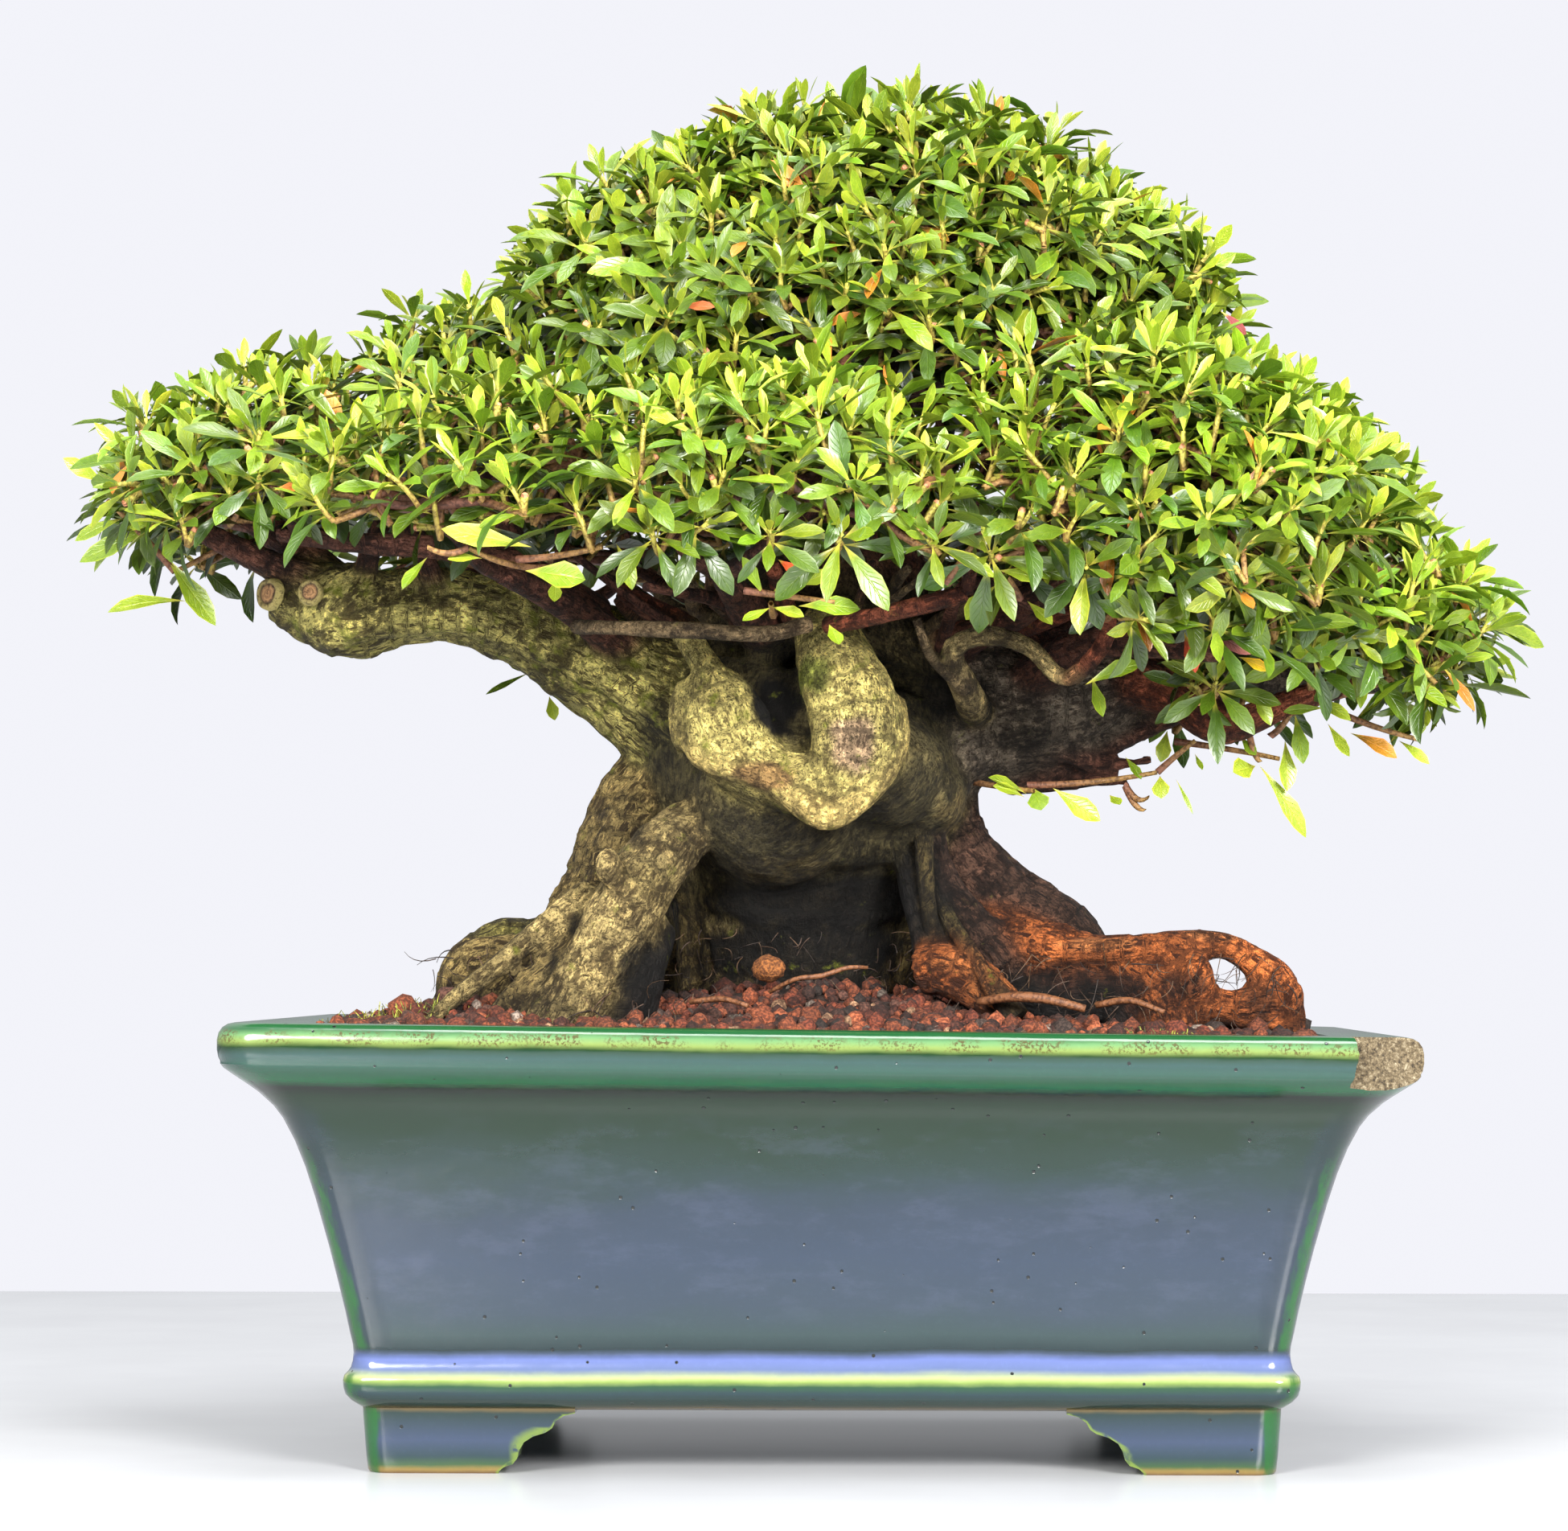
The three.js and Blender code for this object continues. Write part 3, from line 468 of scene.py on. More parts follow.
def bark_material():
    """Bark whose colour, specks and fissures follow the limbs."""
    m = Nodes("azalea_bark")
    place, tint = m.millimetres(), m.attribute("bark_tint")
    grain = m.attribute("bark_grain", "Vector")
    specked, fissured, mossed = m.parts("bark_marks")
    patches = m.noise(place, 12.0, detail=6.0, rough=0.66)
    depth = m.plus(0.45, m.times(fissured, 0.5))
    colour = m.over(tint, m.tinted(tint, (0.26, 0.24, 0.24)), m.below(patches, 0.42, 0.54), depth)
    pale = m.noise(place, 3.6, detail=7.0, rough=0.75)
    colour = m.over(colour, m.tinted(tint, (1.9, 1.85, 1.8)), m.band(pale, 0.52, 0.6), 0.75)
    crust = m.tinted(colour, (0.26, 0.23, 0.22))
    colour = m.over(colour, crust, m.below(pale, 0.4, 0.46), 0.8)
    flecks = m.noise(grain, 1.3, detail=4.0, rough=0.7)
    colour = m.over(colour, crust, m.below(flecks, 0.41, 0.47), 0.85)
    fissures = m.noise(grain, 2.4, detail=5.0, rough=0.62)
    colour = m.over(colour, m.tinted(tint, (0.13, 0.11, 0.1)), m.below(fissures, 0.41, 0.47), fissured)
    specks = m.noise(place, 0.8, detail=4.0, rough=0.7)
    speck = m.times(m.band(specks, 0.55, 0.6), specked)
    colour = m.mix(speck, colour, m.tinted(tint, (0.12, 0.12, 0.09)))
    moss = m.plus(m.noise(place, 7.0, detail=5.0, rough=0.65), m.times(mossed, 0.3))
    colour = m.over(colour, srgb(140, 146, 44), m.band(moss, 0.64, 0.8), 0.7)
    height = m.plus(m.times(fissures, 1.2), m.times(m.plus(pale, flecks), 1.1))
    m.bump(m.minus(height, m.times(speck, 0.35)), 0.0032)
    return m.finish(
        Base_Color=colour, Roughness=m.greys(patches, [(0.3, 0.62), (0.7, 0.85)]), Specular_IOR_Level=0.3,
    )


# A cut's rings, from its middle out: share of its radius, and height on a cut of PROFILE_RADIUS.
SCAR_PROFILE = [
    (0.0, 0.5), (0.25, 0.6), (0.5, 0.45), (0.72, 0.55), (0.84, 0.3), (0.95, 0.9), (1.12, 1.1), (1.3, 0.5),
    (1.4, -1.8),
]
PROFILE_RADIUS = 4.5
SCAR_SIDES = 28


def scar_material():
    """A healed cut: rings of tan wood, then a lip of bark. scar_at.x is the share of the radius."""
    m = Nodes("cut_wood")
    place = m.millimetres()
    wander = m.times(m.minus(m.noise(place, 2.4), 0.5), 0.22)
    share = m.math("DIVIDE", m.plus(m.parts("scar_at")[0], wander), SCAR_PROFILE[-1][0])
    colour = m.ramp(share, as_seen([
        (0.0, (110, 74, 50)), (0.12, (166, 126, 84)), (0.24, (128, 92, 62)), (0.34, (170, 130, 86)),
        (0.5, (132, 98, 66)), (0.58, (74, 56, 38)), (0.68, (140, 124, 76)), (1.0, (150, 138, 80)),
    ]))
    crumb = m.noise(place, 1.2, detail=4.0)
    colour = m.mix(m.band(crumb, 0.5, 0.64), colour, m.tinted(colour, (0.4, 0.38, 0.36)))
    m.bump(crumb, 0.0012, 0.8)
    return m.finish(Base_Color=colour, Roughness=0.8)


def granule_material():
    """Baked clay granules, each with its own tint."""
    m = Nodes("clay_granules")
    tint = m.attribute("grain_tint")
    grit = m.noise(m.millimetres(), 0.9)
    colour = m.mix(m.band(grit, 0.4, 0.65), m.tinted(tint, srgb(150, 140, 135)), tint)
    m.bump(grit, 0.0008, 0.9)
    return m.finish(Base_Color=colour, Roughness=0.88)


# The glaze's colours up the pot: height in mm, and colour as seen.
GLAZE_BANDS = [
    (0.0, (84, 64, 42)), (1.2, (120, 100, 50)), (2.4, (46, 72, 40)), (5.0, (32, 50, 56)),
    (10.0, (46, 58, 80)), (18.4, (24, 42, 40)), (19.6, (84, 70, 40)), (20.6, (24, 42, 30)),
    (24.5, (28, 48, 54)), (26.6, (26, 62, 38)), (28.2, (116, 136, 72)), (29.2, (146, 156, 104)),
    (31.5, (76, 90, 126)), (34.5, (86, 98, 146)), (36.4, (46, 58, 78)), (37.4, (18, 34, 38)),
    (42.0, (38, 54, 56)), (50.0, (40, 52, 64)), (64.0, (38, 50, 66)), (78.0, (34, 46, 60)),
    (90.0, (24, 42, 42)), (102.0, (14, 36, 22)), (112.0, (14, 36, 20)), (115.0, (6, 16, 12)),
    (117.0, (16, 78, 46)), (121.0, (34, 66, 56)), (124.0, (34, 62, 60)), (126.4, (12, 42, 18)),
    (128.2, (108, 126, 66)), (130.0, (84, 122, 78)), (131.6, (26, 72, 40)), (133.0, (30, 80, 44)),
]
GLAZE_GREEN, GLAZE_SLATE, GLAZE_EDGE = srgb(20, 82, 26), srgb(22, 36, 46), srgb(96, 116, 46)
GLAZE_CLOUD, GLAZE_FLECK, GLAZE_PIT = srgb(84, 90, 116), srgb(66, 48, 22), srgb(24, 28, 28)


def glaze_bands(m, wide, height, drift, fine):
    """The glaze's colour by height, with wavering limits, and clouds on the wall."""
    on_wall = m.times(m.band(height, 40, 56), m.below(height, 98, 112))
    sway = m.times(m.minus(drift, 0.5), m.plus(2.0, m.times(on_wall, 22.0)))
    jitter = m.times(m.minus(fine, 0.5), m.plus(1.0, m.times(on_wall, 3.0)))
    level = m.math("DIVIDE", m.plus(height, m.plus(sway, jitter)), RIM_TOP)
    colour = m.ramp(level, [(z / RIM_TOP, glaze) for z, glaze in as_seen(GLAZE_BANDS)])
    clouds = m.band(m.noise(wide, 9.0, detail=5.0, rough=0.65), 0.46, 0.7)
    return m.over(colour, GLAZE_CLOUD, clouds, m.times(on_wall, 0.11))


def corner_strips(m, colour, place, height, corner):
    """The colour with a slate strip and a narrow green one along the corners."""
    streaks = m.noise(m.stretched(place, (1.0, 1.0, 0.14)), 3.0)
    wavering = m.plus(corner, m.times(m.minus(streaks, 0.5), 7.0))
    between_mouldings = m.times(m.band(height, 37, 40), m.below(height, 104, 113))
    slate = m.times(m.below(wavering, 9, 15), between_mouldings)
    colour = m.over(colour, GLAZE_SLATE, slate, 0.5)
    off_cove = m.minus(1.0, m.times(m.band(height, 29.5, 31), m.below(height, 36.4, 38.4)))
    green = m.times(m.below(wavering, 2.5, 5.5), m.times(m.below(height, 84, 104), off_cove))
    return m.over(colour, GLAZE_GREEN, green, 0.8)


def glaze_wear(m, colour, place, height, edge):
    """The colour with brown flecks on the lip, pale edges of the feet, and haze."""
    lip = m.times(m.band(height, 126.6, 128.2), m.below(height, 130.4, 132))
    clump = m.band(m.noise(place, 16.0, detail=2.0), 0.4, 0.56)
    fleck = m.times(m.band(m.noise(place, 1.0, detail=4.0, rough=0.7), 0.5, 0.56), clump)
    colour = m.over(colour, GLAZE_FLECK, m.times(lip, fleck), 0.85)
    worn = m.times(m.band(edge, 0.72, 0.94), m.band(m.noise(place, 4.0, detail=4.0), 0.32, 0.5))
    colour = m.over(colour, GLAZE_EDGE, worn, 0.85)
    haze = m.band(m.noise(place, 2.0, detail=5.0, rough=0.7), 0.5, 0.7)
    return m.over(colour, m.tinted(colour, (1.4, 1.4, 1.4)), haze, 0.16)


def glaze_material():
    """Streaked glossy glaze: bands by height, green and slate strips at the corners, pale worn edges.

    glaze_at holds the height without the rim's warp, the distance from a corner's edge, both in mm, and
    the nearness to a foot's cut edge. Limits of bands by height or from a corner are in mm too."""
    m = Nodes("pot_glaze")
    place = m.millimetres()
    height, corner, edge = m.parts("glaze_at")
    wide = m.stretched(place, (0.4, 0.4, 1.0))
    drift = m.noise(wide, 22.0, detail=4.0, rough=0.6)
    fine = m.noise(wide, 5.0, detail=4.0, rough=0.6)
    colour = glaze_bands(m, wide, height, drift, fine)
    colour = corner_strips(m, colour, place, height, corner)
    colour = glaze_wear(m, colour, place, height, edge)
    pit = m.below(m.spots(place, 7.5), 0.055, 0.085)
    colour = m.mix(pit, colour, GLAZE_PIT)
    m.bump(m.plus(m.times(drift, 0.6), m.times(pit, -0.6)), 0.0012, 0.5)
    return m.finish(
        Base_Color=colour, Roughness=m.plus(0.04, m.times(fine, 0.2)),
        Specular_IOR_Level=0.5, Coat_Weight=0.12, Coat_Roughness=0.05,
    )


def clay_material():
    """Coarse fired clay where the glaze broke off."""
    m = Nodes("bare_clay")
    place = m.millimetres()
    colour = m.ramp(m.noise(place, 1.3, detail=5.0, rough=0.75), as_seen([
        (0.36, (34, 28, 22)), (0.44, (78, 66, 46)), (0.56, (112, 98, 74)), (0.68, (160, 150, 126)),
    ]))
    m.bump(m.noise(place, 2.4, detail=5.0, rough=0.7), 0.0022, 0.9)
    return m.finish(Base_Color=colour, Roughness=0.92)


def plain_material(name, colour, roughness, size, spread=0.15):
    """A plain surface with a little unevenness."""
    m = Nodes(name)
    uneven = m.noise(m.millimetres(), size)
    low, high = np.asarray(colour) * (1 - spread), np.minimum(1, np.asarray(colour) * (1 + spread))
    return m.finish(Base_Color=m.ramp(uneven, [(0.35, low), (0.65, high)]), Roughness=roughness)


LEAF = leaf_material()
SHOOT = shoot_material()
BARK = bark_material()
SCAR = scar_material()
GRANULE = granule_material()
GLAZE = glaze_material()
CLAY = clay_material()
MESH_PLASTIC = plain_material("mesh_plastic", srgb(40, 42, 44), 0.5, 3.0)

# ---------------------------------------------------------------- wood

# Bark styles: colour, then how specked, fissured and mossed it is.
OLIVE = (srgb(244, 230, 134), 0.5, 1.0, 0.4)
BELLY = (srgb(106, 96, 62), 0.4, 0.4, 0.0)
BURL = (srgb(230, 212, 126), 0.95, 0.3, 0.25)
RIM_OF_BURL = (srgb(252, 222, 136), 0.5, 0.2, 0.2)
TAN = (srgb(206, 182, 120), 0.8, 0.8, 0.15)
KNEE = (srgb(178, 154, 96), 0.6, 1.0, 0.15)
# Near-black painted shade for wood in the hollows' shadow, laid over the dark fibrous wood there;
# front_left_shade, long_right_shade and front_leg use it.
CAVE_SHADE = (srgb(24, 19, 18), 0.2, 0.8, 0.0)
DARK_LIMB = (srgb(140, 126, 108), 0.4, 0.7, 0.0)
DARK_ROOT = (srgb(98, 70, 56), 0.5, 0.9, 0.0)
MOSSY_ROOT = (srgb(104, 90, 54), 0.5, 0.9, 0.2)
RED_ROOT = (srgb(218, 122, 62), 0.6, 1.0, 0.0)
BROWN_BRANCH = (srgb(140, 90, 72), 0.4, 0.8, 0.0)
RED_BRANCH = (srgb(192, 106, 74), 0.5, 0.7, 0.0)
GREY_BRANCH = (srgb(158, 134, 98), 0.5, 0.7, 0.0)

# Each limb: its style, then points of [x, y, z, radius].
WOOD = {
    "column": (KNEE, [[-12, 32, 118, 40], [-10, 28, 150, 41], [-8, 20, 182, 45]]),
    "chest": (BELLY, [[-8, 18, 180, 44], [-6, 10, 200, 48], [-5, 1, 218, 54], [0, 0, 243, 49]]),
    "chest_back": (KNEE, [[-8, 40, 168, 26], [-6, 36, 192, 27], [-4, 32, 216, 30], [0, 24, 240, 31]]),
    "stem": (BROWN_BRANCH, [
        [0, 0, 243, 46], [5, 5, 270, 32], [12, 8, 304, 19], [15, 10, 345, 12], [12, 12, 386, 6],
    ]),
    "left_knee": (KNEE, [
        [-36, 5, 222, 20], [-54, 2, 206, 18], [-63, 0, 191, 18], [-71, -4, 171, 17],
        [-87, -10, 152, 14], [-104, -14, 138, 12], [-122, -18, 122, 8],
    ]),
    "knee_ridge": (KNEE, [
        [-50, -12, 212, 8], [-64, -14, 196, 8], [-70, -16, 178, 8], [-78, -22, 160, 7],
        [-92, -26, 144, 6], [-102, -30, 130, 5],
    ]),
    "front_left": (TAN, [
        [-42, -34, 196, 8.5], [-50, -46, 187, 11], [-57, -53, 177, 11.5], [-62, -57, 167, 12],
        [-68, -60, 156, 11], [-74, -62, 146, 11], [-80, -63, 135, 12], [-84, -63, 122, 12],
    ]),
    "front_left_shade": (CAVE_SHADE, [
        [-52, -44, 165, 7], [-56, -52, 153, 9], [-60, -54, 142, 10], [-62, -54, 128, 10],
    ]),
    "front_left_toe": (KNEE, [
        [-70, -50, 160, 7], [-86, -56, 147, 6.5], [-98, -58, 138, 5], [-106, -60, 126, 4],
    ]),
    "right_root": (DARK_ROOT, [
        [30, 4, 216, 20], [37, 0, 194, 15], [45, -4, 181, 15], [58, -6, 168, 15.5], [70, -8, 163, 14.5],
        [80, -8, 150, 14], [92, -8, 126, 11],
    ]),
    "right_root_ridge": (DARK_ROOT, [
        [30, -22, 196, 7], [36, -26, 180, 6], [46, -30, 165, 8], [58, -32, 152, 9],
    ]),
    "upright_root": (MOSSY_ROOT, [
        [31, -36, 192, 3.6], [32, -39, 178, 2.8], [34, -42, 164, 2.8], [38, -46, 150, 3.4],
    ]),
    "long_right": (RED_ROOT, [
        [52, -18, 160, 11], [66, -28, 157, 10.5], [80, -33, 154, 9], [98, -36, 153.5, 8.5],
        [108, -37, 154, 8], [113, -38, 146, 8.5],
    ]),
    "long_right_ridge": (RED_ROOT, [
        [58, -32, 160, 4.5], [72, -39, 157, 5], [84, -42, 156.5, 4], [96, -43, 157.5, 4.2],
        [110, -41, 158.5, 4],
    ]),
    "long_right_shade": (CAVE_SHADE, [
        [54, -24, 146, 11], [74, -32, 143, 10], [92, -36, 142, 9], [100, -36, 128, 9],
    ]),
    "bridge": (RED_ROOT, [
        [106, -38, 157, 6], [117, -37, 159, 4.8], [127, -36, 157.5, 4.6], [134, -36, 153, 5.6],
        [140, -35, 147, 7.5], [143, -34, 138, 8], [143, -34, 126, 7],
    ]),
    "second_leg": (RED_ROOT, [[94, -36, 151, 8.5], [105, -41, 141, 9], [109, -43, 122, 9]]),
    "leg_web": (RED_ROOT, [
        [106, -41, 142, 8], [114, -40, 141.5, 6.5], [124, -39, 139, 6.5], [137, -37, 138, 8],
    ]),
    "left_block": (KNEE, [
        [-70, 4, 158, 17], [-90, 0, 153, 15], [-109, -2, 149, 14.5], [-113, -4, 126, 13],
    ]),
    "block_front": (KNEE, [
        [-84, -12, 156, 9], [-100, -14, 153, 9], [-114, -12, 150, 8], [-116, -12, 130, 8],
    ]),
    "thin_root": (TAN, [
        [-72, -44, 176, 5], [-80, -50, 168, 5], [-88, -56, 162, 4.2], [-100, -58, 152, 3.6],
        [-113, -60, 142, 3.2], [-122, -60, 134, 2.6],
    ]),
    # Painted shade: the front leg, which lies in the shade under the belly, is near-black.
    "front_leg": (CAVE_SHADE, [
        [24, -24, 200, 8], [30, -30, 180, 7.5], [34, -34, 165, 8.5], [38, -40, 152, 9],
    ]),
    "front_foot": (RED_ROOT, [
        [29, -46, 150, 7], [38, -48, 151, 9], [48, -50, 146, 8.5], [58, -54, 138, 6.5],
    ]),
    "foot_ridge": (MOSSY_ROOT, [
        [38, -40, 169, 3], [44, -50, 158, 3.2], [52, -58, 146, 3.6], [60, -62, 136, 4],
    ]),
    "back_left_root": (KNEE, [[-40, 40, 160, 22], [-62, 54, 146, 16], [-86, 64, 130, 10]]),
    "back_right_root": (DARK_ROOT, [[30, 44, 162, 22], [54, 58, 146, 16], [78, 66, 128, 10]]),
    "burl_stub": (BURL, [
        [-43, -46, 256, 4.6], [-37, -54, 246, 4.4], [-32, -60, 237, 4.6], [-28, -64, 228, 5.5],
    ]),
    "left_lobe": (BURL, [
        [-35, -50, 240, 8], [-32, -55, 233, 12], [-29, -57, 226, 14], [-25, -58, 218, 12.5],
        [-18, -59, 210, 10],
    ]),
    "left_lobe_side": (BURL, [[-40, -50, 239, 5], [-42, -52, 230, 6], [-39, -55, 221, 7]]),
    "burl_base": (BURL, [[-20, -59, 211, 9], [-9, -61, 208, 10], [2, -61, 205, 9]]),
    "right_lobe": (BURL, [
        [2, -42, 260, 10.5], [3, -50, 250, 11.5], [8, -58, 238, 14], [11, -62, 226, 14.5],
        [9, -63, 214, 12.5], [5, -62, 204, 9], [2, -61, 199, 5],
    ]),
    "burl_rim": (RIM_OF_BURL, [
        [-43, -50, 234, 3.6], [-42, -55, 225, 4.2], [-37, -62, 217, 4.6], [-27, -66, 212.5, 4.4],
        [-16, -68, 209, 4.2], [-8, -69, 203, 4.4], [-2, -70, 198.5, 4.6], [4, -70, 198, 4.6],
        [11, -69, 203, 4.8], [18, -66, 212, 5], [22, -60, 223, 5], [21, -54, 234, 5],
    ]),
    "left_limb": (OLIVE, [
        [-20, 0, 225, 32], [-55, -8, 240, 22], [-84, -14, 254, 15.5], [-110, -16, 265, 12],
        [-132, -16, 266.5, 12], [-150, -16, 264, 14.5], [-166, -16, 268, 12], [-176, -16, 270, 8],
    ]),
    "limb_ridge": (OLIVE, [
        [-36, -28, 224, 10], [-62, -24, 240, 8], [-88, -25, 253, 7], [-112, -25, 262, 6],
        [-134, -27, 262, 6], [-152, -27, 259, 7],
    ]),
    "left_fork": (BROWN_BRANCH, [
        [-150, -14, 268, 9], [-168, -12, 284, 6.5], [-186, -8, 296, 4.5], [-204, -6, 303, 3],
    ]),
    "left_low_fork": (BROWN_BRANCH, [
        [-160, -22, 272, 7], [-178, -24, 280, 5], [-196, -22, 289, 4], [-214, -16, 298, 2.6],
    ]),
    "left_shelf": (BROWN_BRANCH, [
        [-70, -26, 262, 6], [-92, -40, 276, 4.6], [-118, -46, 282, 4], [-146, -44, 284, 3.6],
        [-172, -36, 288, 3],
    ]),
    "left_post_a": (BROWN_BRANCH, [[-122, -20, 268, 5], [-126, -28, 280, 4], [-130, -36, 292, 3.2]]),
    "left_post_b": (BROWN_BRANCH, [[-146, -20, 268, 5], [-144, -28, 280, 4], [-138, -38, 292, 3.2]]),
    "left_shoulder": (BROWN_BRANCH, [
        [-84, -8, 254, 8], [-96, 0, 276, 6], [-106, 4, 300, 5], [-112, 2, 322, 3.5],
    ]),
    "right_limb": (DARK_LIMB, [
        [15, 0, 228, 36], [44, -2, 233, 26], [60, -4, 234, 22.5], [76, -6, 234.5, 18.5],
        [86, -7, 237, 15.5], [96, -8, 240.5, 12.5], [108, -10, 242, 11.5], [118, -10, 243, 9.5],
        [135, -8, 245, 8], [158, -8, 243, 6.5], [180, -8, 243, 4.5],
    ]),
    "right_low": (RED_BRANCH, [
        [98, -16, 242, 9], [110, -22, 238, 8.5], [119, -26, 231, 7.5], [125, -28, 227, 6],
        [136, -28, 230, 5.2], [150, -26, 236, 4.6], [168, -24, 241, 3.4],
    ]),
    "right_front": (BROWN_BRANCH, [
        [66, -22, 244, 8], [84, -48, 252, 6], [104, -66, 250, 4.5], [122, -78, 246, 3],
    ]),
    "right_rise": (BROWN_BRANCH, [
        [100, -2, 250, 11], [118, 2, 272, 8], [136, 4, 296, 5.5], [150, 2, 318, 4],
    ]),
    "low_branch": (BROWN_BRANCH, [
        [58, 0, 214, 8], [69, -4, 214.5, 5.6], [80, -8, 217.5, 4.2], [90, -10, 221.5, 3.4],
        [101, -12, 226, 2.8], [113, -14, 230.5, 2.4],
    ]),
    "low_stick": (BROWN_BRANCH, [
        [58, 2, 211, 5], [72, -6, 210, 3.2], [86, -10, 210.5, 2.2], [97, -12, 210, 1.5],
    ]),
    "low_fill": (BROWN_BRANCH, [
        [62, -10, 222, 6], [76, -14, 219, 4], [88, -14, 216, 2.6], [104, -16, 217, 1.5],
    ]),
    "arch": (TAN, [
        [48, -22, 232, 6], [46.5, -40, 233, 5.6], [44.5, -56, 237, 4.8], [39.5, -65, 246.5, 3.8],
        [43, -69, 251.5, 3.4], [54, -71, 252.5, 3.2], [65, -73, 248, 3.1], [71, -75, 240.5, 3],
        [78, -78, 238.5, 2.8],
    ]),
    "arch_stalk": (GREY_BRANCH, [
        [29, -70, 258, 1.4], [33, -68, 247, 1.6], [39, -65, 241, 1.9], [44, -61, 237, 2.6],
    ]),
    "reddish_rise": (RED_BRANCH, [
        [76, -78, 239, 2.8], [84, -82, 247, 2.6], [87, -84, 256, 2.5], [88, -82, 278, 2.2],
    ]),
    "red_shelf": (RED_BRANCH, [
        [2, -70, 256, 2.8], [18, -84, 258, 2.9], [32, -90, 261, 3.0], [44, -90, 264, 2.6],
    ]),
    "front": (BROWN_BRANCH, [[-16, -30, 254, 9], [-24, -60, 263, 6], [-30, -88, 270, 4]]),
    "front_shelf": (GREY_BRANCH, [
        [-76, -52, 257, 2.6], [-68, -70, 255.5, 2.2], [-44, -80, 254, 2.3], [-17, -84, 252.5, 2.4],
        [-4, -76, 256, 2.6],
    ]),
    "front_left_branch": (BROWN_BRANCH, [
        [-60, -20, 250, 6.5], [-80, -48, 264, 5], [-98, -72, 272, 3.5],
    ]),
    "front_right_branch": (BROWN_BRANCH, [[40, -20, 254, 8], [64, -52, 264, 5.5], [86, -76, 272, 4]]),
    "back": (BROWN_BRANCH, [[5, 30, 256, 14], [4, 58, 268, 9], [0, 84, 276, 5]]),
    "back_left": (BROWN_BRANCH, [[-34, 4, 240, 12], [-74, 48, 264, 7.5], [-92, 74, 272, 4.5]]),
    "back_right": (BROWN_BRANCH, [[50, 20, 250, 12], [74, 48, 264, 8], [92, 72, 272, 5]]),
}
# Swellings: style, centre, half-sizes.
KNOBS = [
    (BELLY, (-13, -22, 206), (31.5, 40, 30.5)),
    (BELLY, (14, -20, 213), (28, 41, 23)),
    (BELLY, (32, -22, 206), (13, 21, 12.5)),
    # Painted shade: a small near-black swelling in the recess under the right limb.
    (CAVE_SHADE, (70, -2, 211), (9, 5, 4)),
    (TAN, (-65.5, -66, 182.5), (4.4, 6, 6.5)),
    (OLIVE, (-152, -18, 266), (18, 16, 15)),
    (RED_ROOT, (144, -35, 141), (6.5, 8, 9.5)),
    (RED_ROOT, (116, -44, 148), (6, 6, 8)),
]
SKELETON_STEP = 5.0
# How far the colour of one limb fades into the next.
STYLE_BLEND = 1.2
# How many points are compared with the skeleton at once.
CHUNK = 4000
# Branches to the sprays leave wood that is higher and thinner than this.
BRANCH_FROM_Z = 243.0
BRANCH_FROM_RADIUS = 14
# A branch to a spray: its largest radius, how it thins (share of its length, and share of its first
# radius), and its last radius.
BRANCH_RADIUS = 4.6
BRANCH_TAPER = ((0.0, 1.0), (0.33, 0.82), (0.66, 0.66))
TWIG_RADIUS = 2.2
TANGLE_COUNT = 56
# Limbs that are nowhere as thick as this stay tubes; the others melt into one skin of voxels.
THIN_LIMB = 5.0
VOXEL = 1.76

